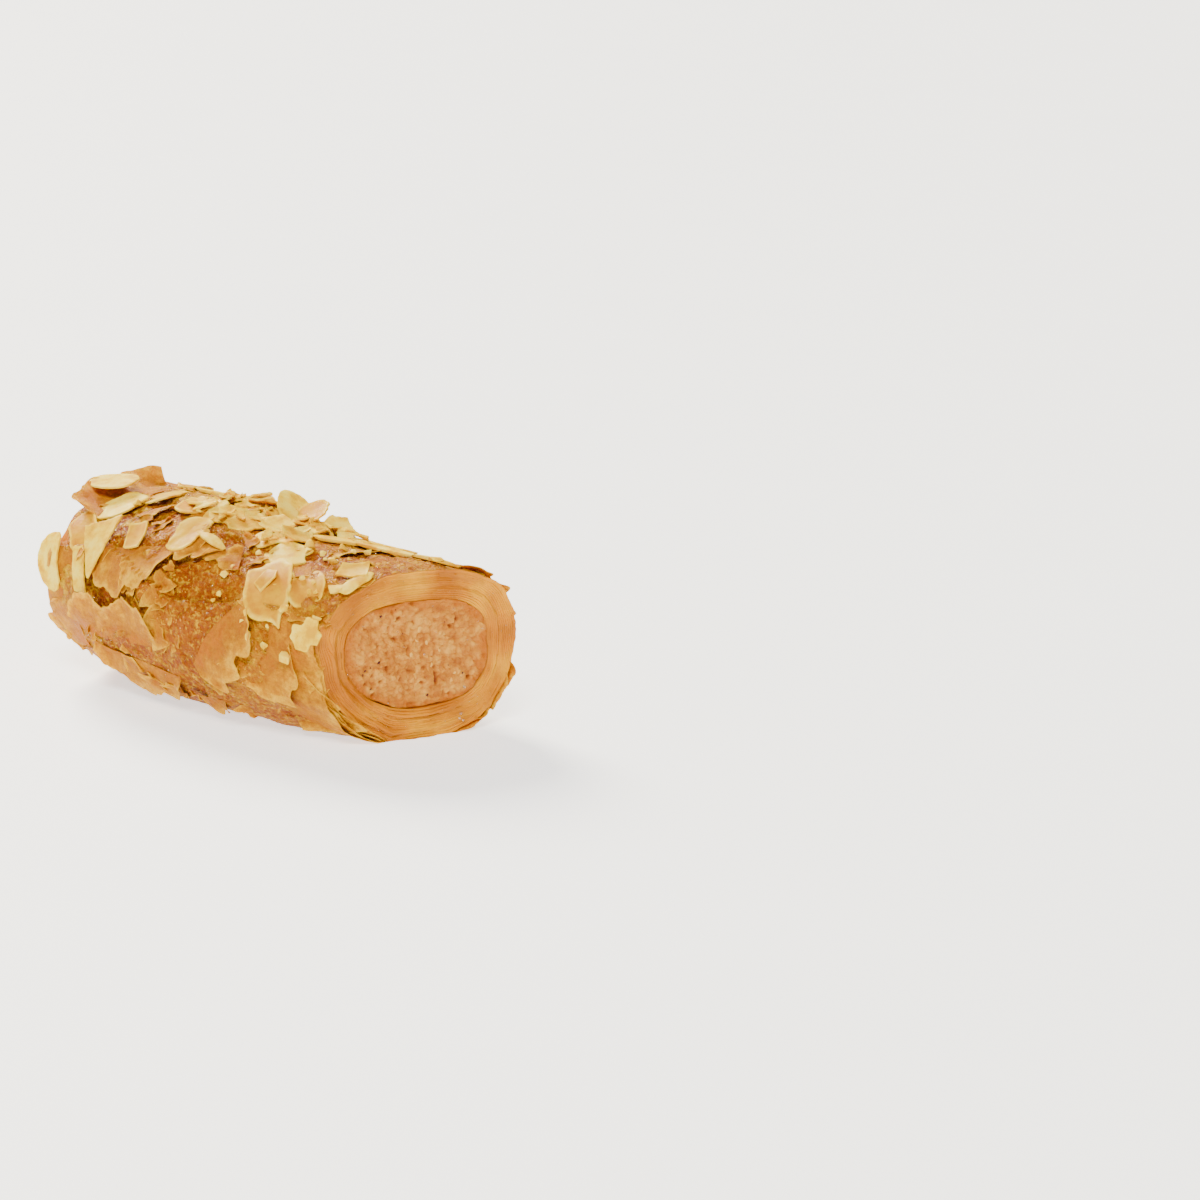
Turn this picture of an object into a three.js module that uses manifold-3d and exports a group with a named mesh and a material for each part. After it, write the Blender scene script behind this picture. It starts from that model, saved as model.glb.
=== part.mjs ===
// An almond snake pastry: a length of filo rolled round an almond paste, cut across at both ends,
// with torn leaves and flaked almonds stuck to its skin.
// Millimetres. X runs along the roll with the oblique cut at +X, -Y is the front flank, Z is up.
// "along" runs from -1 at the far end to 1 at the oblique cut. "around" is an angle in degrees:
// 0 faces +Y, 90 faces up, 180 faces -Y and 270 faces down.
import * as THREE from 'three';
import Module from 'manifold-3d';

const wasm = await Module();
wasm.setup();

// ---- The roll -----------------------------------------------------------------------------------
const ROLL_LENGTH = 93;
const HALF_WIDTH = 25;
const HALF_HEIGHT = 21.8;
const SECTION_POWER = 2.3;
const SIT = 0.94;
const BEND = 2;
const CUT_ANGLE = 22;
const FAR_LIFT = { height: 3, from: 0.35 };

// How the section shrinks toward both ends, and how the front half sags.
const END_SWELL = 2.4;
const NEAR_END = { width: 0.82, dip: 0.03, shift: 0.8, taper: 0.19 };
const FAR_END = { width: 0.9, height: 0.93 };
const SAG = { amount: 0.105, from: -0.3, over: 0.8 };
const NEAR_POWERS = { topRight: 2.25, topLeft: 2.15, bottomLeft: 2.1, bottomRight: 2.35 };

// ---- The paste inside ---------------------------------------------------------------------------
const PASTE = {
  near: { halfWidth: 15.4, halfHeight: 11.9, y: 0.6, z: 18.5 },
  far: { halfWidth: 15.2, halfHeight: 12.4, y: -0.4, z: 22.4 },
  powers: { topRight: 3, topLeft: 2.9, bottomLeft: 1.9, bottomRight: 2.6 },
};
const LEAF_GAP = 0.3;
const PASTE_CRUMB = { height: 0.3, waves: [[0.5, 0.25, 1.1], [-0.35, 0.7, 2.6], [0.9, -0.6, 0.2]] };
const PASTE_CAP_SCALES = [0.88, 0.7, 0.48, 0.24];

// ---- Skin and leaf relief -----------------------------------------------------------------------
const WRINKLES = [
  { height: 0.3, around: 3, along: 2.1, phase: 1.3 },
  { height: 0.22, around: 7, along: -5.3, phase: 0.4 },
  { height: 0.16, around: 12, along: 9.1, phase: 2.2 },
];
const EDGE_WANDER = 5;
const LEAF_EDGES = [
  { around: 152, step: 0.8, run: 60, wander: 7 },
  { around: 24, step: 0.7, run: 70, wander: 9 },
  { around: 318, step: 0.7, run: 50, wander: 6 },
];
const CUT_RIDGE = { out: 0.55, back: -0.6, waver: 0.5 };

// ---- Mesh fineness ------------------------------------------------------------------------------
const WRAP_SIDES = 54;
const SKIN_STATIONS = 16;
const CUT_LEAVES = 7;
const BORE_STATIONS = 4;
const PASTE_SIDES = 36;
const PASTE_STATIONS = 6;

const FLAKE_SIDES = 8;
const NIB_SIDES = 5;
const STICK_STATIONS = 3;
const FUSE_TOLERANCE = 0.08;

const DEGREE = Math.PI / 180;
const FULL_TURN = 360;

// ---- Torn leaves --------------------------------------------------------------------------------
// "turn" swings the torn edge round the outward normal, from 0 (torn edge toward larger "around").
const LEAF_THICKNESS = 0.7;
const LEAF_SINK = 0.55;
const TORN_LEAVES = [
  { along: -0.4, around: 193, long: 36, deep: 9, turn: 176, lift: 1.5 },
  { along: -0.86, around: 202, long: 15, deep: 10, turn: 82, lift: 1 },
  { along: -0.26, around: 202, long: 34, deep: 9, turn: 3, lift: 1.2 },
  { along: 0.4, around: 168, long: 22, deep: 12, turn: -52, lift: 1.3 },
  { along: 0.72, around: 178, long: 16, deep: 9, turn: -38, lift: 1.1 },
  { along: 0.79, around: 203, long: 20, deep: 12, turn: -60, lift: 1 },
  { along: -0.84, around: 100, long: 20, deep: 11, turn: 82, lift: 3.4 },
  { along: -0.34, around: 140, long: 28, deep: 10, turn: -14, lift: 0.9 },
  { along: 0.04, around: 116, long: 13, deep: 8, turn: 12, lift: 1 },
  { along: -0.45, around: 28, long: 30, deep: 10, turn: 178, lift: 1.4 },
  { along: 0.42, around: 10, long: 28, deep: 10, turn: 190, lift: 1.4 },
  { along: -0.05, around: 346, long: 28, deep: 8, turn: 174, lift: 1.2 },
  { along: 0.76, around: 42, long: 16, deep: 9, turn: -84, lift: 1 },
];
const LEAF_TEAR = { narrow: 0.72, wide: 3.4, fine: 9.5, depth: 0.16, ripples: 5.2 };
const LEAF_RIPPLE = 0.35;
const LEAF_COLUMNS = 9;
const LEAF_ROWS = 3;

// ---- Almonds ------------------------------------------------------------------------------------
// "turn" swings the long axis from the roll's own axis, "pitch" tips it up, "roll" tips it sideways.
// A flake laid across the roll takes up a share of the roll's own curve, its "follow".
const FLAKE = { thickness: 1.05, follow: 0.8, underside: 0.94, narrowing: 0.45, nibble: [0.9, 1.06] };
const STICK = { thickness: 1.26, top: 0.85, ends: 1.4, nibble: [0.75, 1.1] };
const NIB = { lift: 0.3, below: -0.4, above: 0.22, flat: 0.8, base: 0.9, top: 0.8, nibble: [0.75, 1.15] };
const FLAKES = [
  { along: 0.6, around: 135, long: 16.5, wide: 11.5, turn: -58, pitch: 0, roll: 0, lift: 0.67, point: 0.6 },
  { along: 0.77, around: 127, long: 11, wide: 8.5, turn: 118, pitch: 0, roll: 4, lift: 0.27, point: 0.1 },
  { along: 0.25, around: 95, long: 14, wide: 11, turn: 62, pitch: 4, roll: -6, lift: 0.67, point: 0.2 },
  { along: -0.02, around: 97, long: 15, wide: 9.5, turn: 22, pitch: -4, roll: 8, lift: 0.62, point: 0.2 },
  { along: -0.12, around: 76, long: 12, wide: 9, turn: -20, pitch: 20, roll: -8, lift: 1.7, point: 0.3 },
  { along: 0.1, around: 66, long: 11, wide: 9, turn: 70, pitch: 52, roll: 0, lift: 3.2, point: 0.2 },
  { along: -0.03, around: 70, long: 13, wide: 9.5, turn: 150, pitch: 30, roll: 6, lift: 2.3, point: 0.3 },
  { along: 0.2, around: 62, long: 9, wide: 7, turn: 105, pitch: 48, roll: 12, lift: 2.4, point: 0.4 },
  { along: -0.27, around: 74, long: 11, wide: 8.5, turn: 40, pitch: 20, roll: -6, lift: 1.4, point: 0.3 },
  { along: -0.985, around: 166, long: 13.5, wide: 9.5, turn: 118, pitch: 0, roll: 0, lift: 0.37, point: 0.2 },
  { along: -0.7, around: 163, long: 12, wide: 5, turn: 122, pitch: 0, roll: 6, lift: 0.47, point: 0.3 },
  { along: -0.58, around: 147, long: 14, wide: 9.5, turn: -62, pitch: 0, roll: 0, lift: 0.47, point: 0.9 },
  { along: -0.37, around: 133, long: 7.5, wide: 5.5, turn: 110, pitch: 4, roll: 0, lift: 0.42, point: 0.3 },
  { along: -0.94, around: 101, long: 14, wide: 10, turn: 8, pitch: 0, roll: 0, lift: 3.4, point: 0.3 },
  { along: -0.76, around: 112, long: 13, wide: 10, turn: 35, pitch: 3, roll: 4, lift: 0.57, point: 0.2 },
  { along: -0.84, around: 138, long: 12, wide: 9, turn: 120, pitch: 0, roll: 3, lift: 0.42, point: 0.3 },
  { along: 0.93, around: 159, long: 8.5, wide: 7.5, turn: 60, pitch: 4, roll: 0, lift: 0.52, point: 0.1 },
  { along: 0.5, around: 70, long: 13, wide: 8, turn: 10, pitch: 0, roll: -4, lift: 0.52, point: 0.2 },
  { along: 0.36, around: 112, long: 9, wide: 7.5, turn: 15, pitch: 3, roll: 5, lift: 0.47, point: 0.4 },
  { along: 0.87, around: 108, long: 7, wide: 5.2, turn: 20, pitch: 0, roll: 4, lift: 0.47, point: 0.2 },
  { along: -0.32, around: 98, long: 11, wide: 9, turn: 130, pitch: 3, roll: 4, lift: 0.52, point: 0.4 },
];
const STICKS = [
  { along: 0.66, around: 78, long: 15, wide: 2.8, turn: 4, lift: 0.55 },
  { along: 0.56, around: 62, long: 13, wide: 2.6, turn: -14, lift: 0.55 },
  { along: 0.8, around: 64, long: 12, wide: 2.4, turn: 10, lift: 0.55 },
  { along: 0.42, around: 82, long: 11, wide: 2.8, turn: 24, lift: 0.55 },
  { along: 0.955, around: 116, long: 8, wide: 3.4, turn: 72, lift: 0.55 },
  { along: -0.5, around: 72, long: 12, wide: 2.8, turn: 30, lift: 0.55 },
  { along: 0.04, around: 40, long: 13, wide: 2.8, turn: -30, lift: 0.55 },
];
const NIBS = [
  { along: 0.58, around: 90, size: 3.6 },
  { along: 0.44, around: 96, size: 4.6 },
  { along: 0.5, around: 100, size: 3.2 },
  { along: 0.92, around: 124, size: 4.8 },
  { along: 0.95, around: 146, size: 3.4 },
  { along: 0.8, around: 146, size: 3 },
  { along: 0.64, around: 168, size: 3.8 },
  { along: 0.72, around: 171, size: 3 },
  { along: 0.84, around: 175, size: 4 },
  { along: 0.7, around: 104, size: 3.4 },
];

// Almonds scattered by rule over the places the rows above leave free, largest first.
const SCATTER = [
  { kind: 'flake', count: 17, long: [9, 14], wide: [0.62, 0.8], spacing: 9 },
  { kind: 'stick', count: 5, long: [8, 12], wide: [0.2, 0.26], spacing: 6 },
  { kind: 'nib', count: 9, long: [2.6, 4.6], wide: [1, 1], spacing: 5 },
];
const SCATTER_SEED = 4127;
const SCATTER_CENTRE = 66;
const SCATTER_SPREAD = 74;
const BARE_FRONT = { from: -0.72, to: 0.5, around: 122 };
const LOWEST_ALMOND = 9;

// ---- Surfaces -----------------------------------------------------------------------------------
const FILO_SURFACE = { color: 0xd9902f, roughness: 0.42, metalness: 0 };
const PASTE_SURFACE = { color: 0xcf9a63, roughness: 0.85, metalness: 0 };

// ---- Small helpers ------------------------------------------------------------------------------
function randomFrom(seed) {
  let state = seed >>> 0;
  return () => {
    state = (state + 0x6d2b79f5) >>> 0;
    let mixed = Math.imul(state ^ (state >>> 15), state | 1);
    mixed ^= mixed + Math.imul(mixed ^ (mixed >>> 7), mixed | 61);
    return ((mixed ^ (mixed >>> 14)) >>> 0) / 4294967296;
  };
}

const { clamp, lerp, smoothstep } = THREE.MathUtils;

function signedPower(value, power) {
  return Math.sign(value) * Math.abs(value) ** power;
}

function wrapDegrees(angle) {
  return ((angle % FULL_TURN) + FULL_TURN) % FULL_TURN;
}

function quadrantPower(powers, cosine, sine) {
  if (sine >= 0) {
    return cosine >= 0 ? powers.topRight : powers.topLeft;
  }
  return cosine >= 0 ? powers.bottomRight : powers.bottomLeft;
}

// ---- The shape of the roll ----------------------------------------------------------------------
function skinPoint(along, around, out = 0) {
  const cosine = Math.cos(around * DEGREE);
  const sine = Math.sin(around * DEGREE);
  const near = Math.max(0, along) ** END_SWELL;
  const far = Math.max(0, -along) ** END_SWELL;
  const sag = SAG.amount * smoothstep((along - SAG.from) / SAG.over, 0, 1);
  const halfWidth = HALF_WIDTH * (1 - (1 - NEAR_END.width) * near - (1 - FAR_END.width) * far);
  const halfHeight = HALF_HEIGHT * (1 - sag - NEAR_END.dip * near - (1 - FAR_END.height) * far);
  const lift = FAR_LIFT.height * (Math.max(0, -along - FAR_LIFT.from) / (1 - FAR_LIFT.from)) ** 2;
  const power = 2 / lerp(SECTION_POWER, quadrantPower(NEAR_POWERS, cosine, sine), near);
  const rise = halfHeight * signedPower(sine, power);
  const reach = halfWidth * signedPower(cosine, power) + out * cosine;
  const side = reach * (1 + (NEAR_END.taper * near * rise) / halfHeight);
  const height = halfHeight * SIT + lift + rise * (1 - lift / (2 * halfHeight)) + out * sine;
  const y = side - BEND * (1 - along * along) + NEAR_END.shift * near;
  return new THREE.Vector3(stationX(along, y), y, Math.max(0, height));
}

// The oblique cut makes the front flank shorter than the back one.
function stationX(along, y) {
  const nearX = ROLL_LENGTH / 2 + Math.tan(CUT_ANGLE * DEGREE) * y;
  return lerp(-ROLL_LENGTH / 2, nearX, (along + 1) / 2);
}

function skinRelief(along, around) {
  let height = 0;
  for (const wrinkle of WRINKLES) {
    const wave = wrinkle.around * around * DEGREE + wrinkle.along * along + wrinkle.phase;
    height += wrinkle.height * Math.sin(wave);
  }
  for (const edge of LEAF_EDGES) {
    const place = edge.around + edge.wander * Math.sin(EDGE_WANDER * along + edge.around);
    const past = wrapDegrees(around - place);
    height += edge.step * Math.max(0, 1 - past / edge.run);
  }
  return height;
}

function reliefPoint(along, around, raise = 0) {
  return skinPoint(along, around, skinRelief(clamp(along, -1, 1), around) + raise);
}

// "crosswise" points back toward smaller "around", so that the three directions are right-handed.
function skinFrame(along, around) {
  const step = 0.01;
  const spot = reliefPoint(along, around);
  const lengthwise = skinPoint(along + step, around).sub(skinPoint(along - step, around)).normalize();
  const slope = skinPoint(along, around - 1).sub(skinPoint(along, around + 1));
  const outward = new THREE.Vector3().crossVectors(lengthwise, slope).normalize();
  const crosswise = new THREE.Vector3().crossVectors(outward, lengthwise);
  return { spot, lengthwise, crosswise, outward };
}

function pastePoint(along, around, inset) {
  const cosine = Math.cos(around * DEGREE);
  const sine = Math.sin(around * DEGREE);
  const power = 2 / quadrantPower(PASTE.powers, cosine, sine);
  const share = (along + 1) / 2;
  const size = (key) => lerp(PASTE.far[key], PASTE.near[key], share);
  const bend = BEND * (1 - along * along);
  const y = size('y') - bend + (size('halfWidth') - inset) * signedPower(cosine, power);
  const z = size('z') + (size('halfHeight') - inset) * signedPower(sine, power);
  return new THREE.Vector3(stationX(along, y), y, z);
}

// ---- Building closed solids ---------------------------------------------------------------------
function solidFrom(points, faces) {
  const solid = new wasm.Manifold(
    new wasm.Mesh({
      numProp: 3,
      vertProperties: new Float32Array(points.flatMap((point) => point.toArray())),
      triVerts: new Uint32Array(faces.flat()),
    }),
  );
  if (solid.volume() > 0) {
    return solid;
  }
  return solidFrom(points, faces.map(([a, b, c]) => [a, c, b]));
}

function bandFaces(ringCount, sides, closed) {
  const faces = [];
  const bands = closed ? ringCount : ringCount - 1;
  for (let ring = 0; ring < bands; ring += 1) {
    const here = ring * sides;
    const next = ((ring + 1) % ringCount) * sides;
    for (let side = 0; side < sides; side += 1) {
      const beside = (side + 1) % sides;
      faces.push([here + side, here + beside, next + beside]);
      faces.push([here + side, next + beside, next + side]);
    }
  }
  return faces;
}

function loftTorus(rings) {
  return solidFrom(rings.flat(), bandFaces(rings.length, rings[0].length, true));
}

function middleOf(ring) {
  const middle = new THREE.Vector3();
  ring.forEach((point) => middle.addScaledVector(point, 1 / ring.length));
  return middle;
}

function loftCapped(rings) {
  const sides = rings[0].length;
  const points = rings.flat();
  const faces = bandFaces(rings.length, sides, false);
  const lastStart = (rings.length - 1) * sides;
  const firstCentre = points.push(middleOf(rings[0])) - 1;
  const lastCentre = points.push(middleOf(rings.at(-1))) - 1;
  for (let side = 0; side < sides; side += 1) {
    const beside = (side + 1) % sides;
    faces.push([firstCentre, beside, side]);
    faces.push([lastCentre, lastStart + side, lastStart + beside]);
  }
  return solidFrom(points, faces);
}

function ringOf(sides, pointAt) {
  return Array.from({ length: sides }, (_, side) => pointAt((side * FULL_TURN) / sides));
}

// ---- The wrap: skin, leaf edges on both cuts, and the bore for the paste ------------------------
function cutRing(along, share, proud, random) {
  return ringOf(WRAP_SIDES, (around) => {
    const point = reliefPoint(along, around).lerp(pastePoint(along, around, 0), share);
    const waver = CUT_RIDGE.waver * (random() - 0.5);
    point.x += Math.sign(along) * (proud + waver);
    return point;
  });
}

function cutRings(along, random) {
  const rings = [];
  for (let leaf = 1; leaf <= CUT_LEAVES; leaf += 1) {
    const proud = leaf % 2 === 0 ? CUT_RIDGE.out : CUT_RIDGE.back;
    rings.push(cutRing(along, leaf / (CUT_LEAVES + 1), proud, random));
  }
  return rings;
}

function buildWrap() {
  const random = randomFrom(17);
  const skin = [];
  for (let station = 0; station < SKIN_STATIONS; station += 1) {
    const along = lerp(-1, 1, station / (SKIN_STATIONS - 1));
    skin.push(ringOf(WRAP_SIDES, (around) => reliefPoint(along, around)));
  }
  const bore = [];
  for (let station = 0; station < BORE_STATIONS; station += 1) {
    const along = lerp(1, -1, station / (BORE_STATIONS - 1));
    bore.push(ringOf(WRAP_SIDES, (around) => pastePoint(along, around, 0)));
  }
  const nearCut = cutRings(1, random);
  const farCut = cutRings(-1, random).reverse();
  return loftTorus([...skin, ...nearCut, ...bore, ...farCut]);
}

// ---- The paste ----------------------------------------------------------------------------------
function crumbHeight(y, z) {
  const lumps = PASTE_CRUMB.waves.map(([perY, perZ, phase]) => Math.sin(perY * y + perZ * z + phase));
  return PASTE_CRUMB.height * lumps.reduce((sum, lump) => sum + lump, 0);
}

function pasteCap(along) {
  return PASTE_CAP_SCALES.map((scale) => {
    const centre = pastePoint(along, 0, 0).add(pastePoint(along, 180, 0)).multiplyScalar(0.5);
    return ringOf(PASTE_SIDES, (around) => {
      const point = pastePoint(along, around, LEAF_GAP).lerp(centre, 1 - scale);
      point.x += crumbHeight(point.y, point.z) * Math.sign(along);
      return point;
    });
  });
}

function buildPaste() {
  const body = [];
  for (let station = 0; station < PASTE_STATIONS; station += 1) {
    const along = lerp(-1, 1, station / (PASTE_STATIONS - 1));
    body.push(ringOf(PASTE_SIDES, (around) => pastePoint(along, around, LEAF_GAP)));
  }
  const farCap = pasteCap(-1).reverse();
  const nearCap = pasteCap(1);
  return loftCapped([...farCap, ...body, ...nearCap]);
}

// ---- Torn leaves --------------------------------------------------------------------------------
function leafPlace(leaf, side, depth, out) {
  const turn = leaf.turn * DEGREE;
  const run = (side * leaf.long) / 2;
  const alongMove = run * Math.cos(turn) - depth * Math.sin(turn);
  const aroundMove = run * Math.sin(turn) + depth * Math.cos(turn);
  const along = leaf.along + (2 * alongMove) / ROLL_LENGTH;
  const around = leaf.around + aroundMove / HALF_HEIGHT / DEGREE;
  return reliefPoint(along, around, out);
}

// The torn edge is ragged and runs out at both ends of the leaf.
function leafReach(leaf, side) {
  const ends = 1 - LEAF_TEAR.narrow * side ** 4;
  const wide = Math.sin(LEAF_TEAR.wide * side + leaf.around);
  const fine = Math.sin(LEAF_TEAR.fine * side + leaf.long);
  return leaf.deep * ends * (1 + LEAF_TEAR.depth * (wide + 0.6 * fine));
}

function buildTornLeaf(leaf) {
  const sheet = [];
  for (let column = 0; column < LEAF_COLUMNS; column += 1) {
    const side = lerp(-1, 1, column / (LEAF_COLUMNS - 1));
    const reach = leafReach(leaf, side);
    const ripple = LEAF_RIPPLE * Math.sin(LEAF_TEAR.ripples * side + leaf.around);
    const strip = [];
    for (let row = 0; row < LEAF_ROWS; row += 1) {
      const share = row / (LEAF_ROWS - 1);
      const raise = lerp(-LEAF_SINK, leaf.lift + ripple, share ** 1.6);
      strip.push({ side, depth: reach * share, raise });
    }
    sheet.push(strip);
  }
  const rings = sheet.map((strip) => {
    const top = strip.map((spot) => leafPlace(leaf, spot.side, spot.depth, spot.raise + LEAF_THICKNESS));
    const under = strip.map((spot) => leafPlace(leaf, spot.side, spot.depth, spot.raise));
    return [...top, ...under.reverse()];
  });
  return loftCapped(rings);
}

// ---- Almonds ------------------------------------------------------------------------------------
function almondFrame({ along, around, turn, pitch = 0, roll = 0, lift }) {
  const { spot, lengthwise, crosswise, outward } = skinFrame(along, around);
  return new THREE.Matrix4()
    .makeTranslation(spot)
    .multiply(new THREE.Matrix4().makeBasis(lengthwise, crosswise, outward))
    .multiply(new THREE.Matrix4().makeRotationZ(turn * DEGREE))
    .multiply(new THREE.Matrix4().makeRotationY(-pitch * DEGREE))
    .multiply(new THREE.Matrix4().makeRotationX(roll * DEGREE))
    .multiply(new THREE.Matrix4().makeTranslation(0, 0, lift));
}

function followSkin(point, spot) {
  const turn = spot.turn * DEGREE;
  const across = point.x * Math.sin(turn) + point.y * Math.cos(turn);
  point.z -= (FLAKE.follow * across * across) / (2 * HALF_HEIGHT);
  return point;
}

function buildFlake(spot, random) {
  const frame = almondFrame(spot);
  const edge = ringOf(FLAKE_SIDES, (angle) => {
    const nibbled = lerp(...FLAKE.nibble, random());
    const narrowing = 1 - spot.point * FLAKE.narrowing * Math.max(0, Math.cos(angle * DEGREE));
    const x = (spot.long / 2) * Math.cos(angle * DEGREE) * nibbled;
    const y = (spot.wide / 2) * Math.sin(angle * DEGREE) * nibbled * narrowing;
    return new THREE.Vector3(x, y, 0);
  });
  const layer = (height, scale) =>
    edge.map((point) => {
      const moved = new THREE.Vector3(point.x * scale, point.y * scale, height);
      return followSkin(moved, spot).applyMatrix4(frame);
    });
  return loftCapped([layer(-FLAKE.thickness / 2, FLAKE.underside), layer(FLAKE.thickness / 2, 1)]);
}

function buildStick(spot, random) {
  const frame = almondFrame(spot);
  const rings = [];
  for (let station = 0; station < STICK_STATIONS; station += 1) {
    const share = lerp(-0.5, 0.5, station / (STICK_STATIONS - 1));
    const wide = (spot.wide / 2) * lerp(...STICK.nibble, random()) * (1 - STICK.ends * share * share);
    const thick = STICK.thickness / 2;
    const corners = [[-wide, -thick], [wide, -thick], [wide * STICK.top, thick], [-wide * STICK.top, thick]];
    rings.push(
      corners.map(([y, z]) => {
        const point = new THREE.Vector3(share * spot.long, y, z);
        return followSkin(point, spot).applyMatrix4(frame);
      }),
    );
  }
  return loftCapped(rings);
}

function buildNib(spot, random) {
  const frame = almondFrame({ ...spot, turn: FULL_TURN * random(), lift: NIB.lift * spot.size });
  const layer = (height, scale) =>
    ringOf(NIB_SIDES, (angle) => {
      const radius = (spot.size / 2) * scale * lerp(...NIB.nibble, random());
      const x = radius * Math.cos(angle * DEGREE);
      const y = radius * NIB.flat * Math.sin(angle * DEGREE);
      return new THREE.Vector3(x, y, height * spot.size).applyMatrix4(frame);
    });
  return loftCapped([layer(NIB.below, NIB.base), layer(NIB.above, NIB.top)]);
}

const BUILD_ALMOND = { flake: buildFlake, stick: buildStick, nib: buildNib };

function isBareFront(along, around) {
  return along > BARE_FRONT.from && along < BARE_FRONT.to && around > BARE_FRONT.around;
}

function scatterSpots(taken, random) {
  const spots = [];
  for (const group of SCATTER) {
    let made = 0;
    for (let attempt = 0; made < group.count && attempt < group.count * 40; attempt += 1) {
      const along = lerp(-0.93, 0.93, random());
      const around = SCATTER_CENTRE + SCATTER_SPREAD * (random() + random() - 1);
      const long = lerp(...group.long, random());
      const wide = long * lerp(...group.wide, random());
      const turn = FULL_TURN * random();
      const pitch = lerp(-3, 5, random());
      const roll = lerp(-4, 4, random());
      const place = skinPoint(along, around);
      const crowded = taken.some((other) => other.distanceTo(place) < group.spacing);
      if (crowded || isBareFront(along, around) || place.z < LOWEST_ALMOND) {
        continue;
      }
      taken.push(place);
      const shape = { long, wide, size: long, turn, pitch, roll, point: random(), lift: 0.5 };
      spots.push({ kind: group.kind, along, around, ...shape });
      made += 1;
    }
  }
  return spots;
}

function buildAlmonds() {
  const random = randomFrom(SCATTER_SEED);
  const rows = [
    ...FLAKES.map((row) => ({ kind: 'flake', ...row })),
    ...STICKS.map((row) => ({ kind: 'stick', ...row })),
    ...NIBS.map((row) => ({ kind: 'nib', ...row })),
  ];
  const taken = rows.map((row) => skinPoint(row.along, row.around));
  const spots = [...rows, ...scatterSpots(taken, random)];
  return spots.map((spot) => BUILD_ALMOND[spot.kind](spot, random));
}

// Everything stuck to the skin is fused to it. Scraps that touch nothing and sealed pockets are dropped.
function fuse(base, extras) {
  const joined = wasm.Manifold.union([base, ...extras]).simplify(FUSE_TOLERANCE);
  const bodies = joined.decompose();
  return bodies.reduce((best, body) => (body.volume() > best.volume() ? body : best));
}

// ---- Meshes -------------------------------------------------------------------------------------
function meshFrom(solid, name, surface) {
  const { vertProperties, triVerts } = solid.getMesh();
  const geometry = new THREE.BufferGeometry();
  geometry.setAttribute('position', new THREE.BufferAttribute(new Float32Array(vertProperties), 3));
  geometry.setIndex(new THREE.BufferAttribute(new Uint32Array(triVerts), 1));
  const faceted = geometry.toNonIndexed();
  faceted.computeVertexNormals();
  const mesh = new THREE.Mesh(faceted, new THREE.MeshStandardMaterial(surface));
  mesh.name = name;
  return mesh;
}

const roll = fuse(buildWrap(), [...TORN_LEAVES.map(buildTornLeaf), ...buildAlmonds()]);

const pastry = new THREE.Group();
pastry.name = 'almond_snake_pastry';
pastry.add(meshFrom(roll, 'filo_roll', FILO_SURFACE));
pastry.add(meshFrom(buildPaste(), 'almond_filling', PASTE_SURFACE));

const bounds = new THREE.Box3().setFromObject(pastry);
const middle = bounds.getCenter(new THREE.Vector3());
pastry.position.set(-middle.x, -middle.y, -bounds.min.z);

export default pastry;
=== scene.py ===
# %% [markdown]
# # Almond snake pastry
#
# A length of filo rolled round a grainy almond paste and cut across at both ends. Syrup holds torn leaves
# and flaked almonds to its skin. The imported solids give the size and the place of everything, and this
# script dresses them: a fine flaky skin, rolled leaves at both cuts, torn leaves, almonds and a crumbly
# paste.

import math

import bmesh
import bpy
import numpy as np
from mathutils import Matrix, Vector


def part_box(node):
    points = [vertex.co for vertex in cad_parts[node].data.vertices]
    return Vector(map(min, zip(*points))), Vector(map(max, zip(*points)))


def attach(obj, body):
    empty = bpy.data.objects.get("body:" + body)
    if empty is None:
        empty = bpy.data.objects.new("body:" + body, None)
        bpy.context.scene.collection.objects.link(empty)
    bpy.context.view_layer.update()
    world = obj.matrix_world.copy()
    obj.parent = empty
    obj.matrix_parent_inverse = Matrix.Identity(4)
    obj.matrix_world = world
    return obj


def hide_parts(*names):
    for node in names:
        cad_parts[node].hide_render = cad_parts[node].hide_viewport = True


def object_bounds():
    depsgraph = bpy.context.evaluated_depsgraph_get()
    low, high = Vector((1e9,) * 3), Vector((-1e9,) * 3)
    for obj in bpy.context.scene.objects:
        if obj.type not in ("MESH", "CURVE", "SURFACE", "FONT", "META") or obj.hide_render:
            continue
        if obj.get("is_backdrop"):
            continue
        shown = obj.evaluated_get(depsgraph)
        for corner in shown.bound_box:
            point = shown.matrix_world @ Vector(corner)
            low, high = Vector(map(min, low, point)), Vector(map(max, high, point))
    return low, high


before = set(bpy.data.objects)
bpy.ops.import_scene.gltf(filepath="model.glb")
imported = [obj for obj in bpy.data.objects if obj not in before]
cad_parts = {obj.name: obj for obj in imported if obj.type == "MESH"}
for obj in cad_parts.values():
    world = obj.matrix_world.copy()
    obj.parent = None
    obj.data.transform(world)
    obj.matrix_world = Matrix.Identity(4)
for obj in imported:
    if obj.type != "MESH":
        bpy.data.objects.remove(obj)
cad_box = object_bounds()
print("nodes:", sorted(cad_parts), "box in mm:", [round(1000 * v) for v in (cad_box[1] - cad_box[0])])

# %% [markdown]
# ## Sizes of the roll
#
# Every point of the skin is named by two numbers. "Along" runs from -1 at the far end to 1 at the oblique
# cut, and "around" is an angle in degrees: 0 faces +Y, 90 up, 180 the front flank and 270 down. The solids
# were made from the same rule, so a piece placed by these two numbers lies where its solid does.

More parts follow.
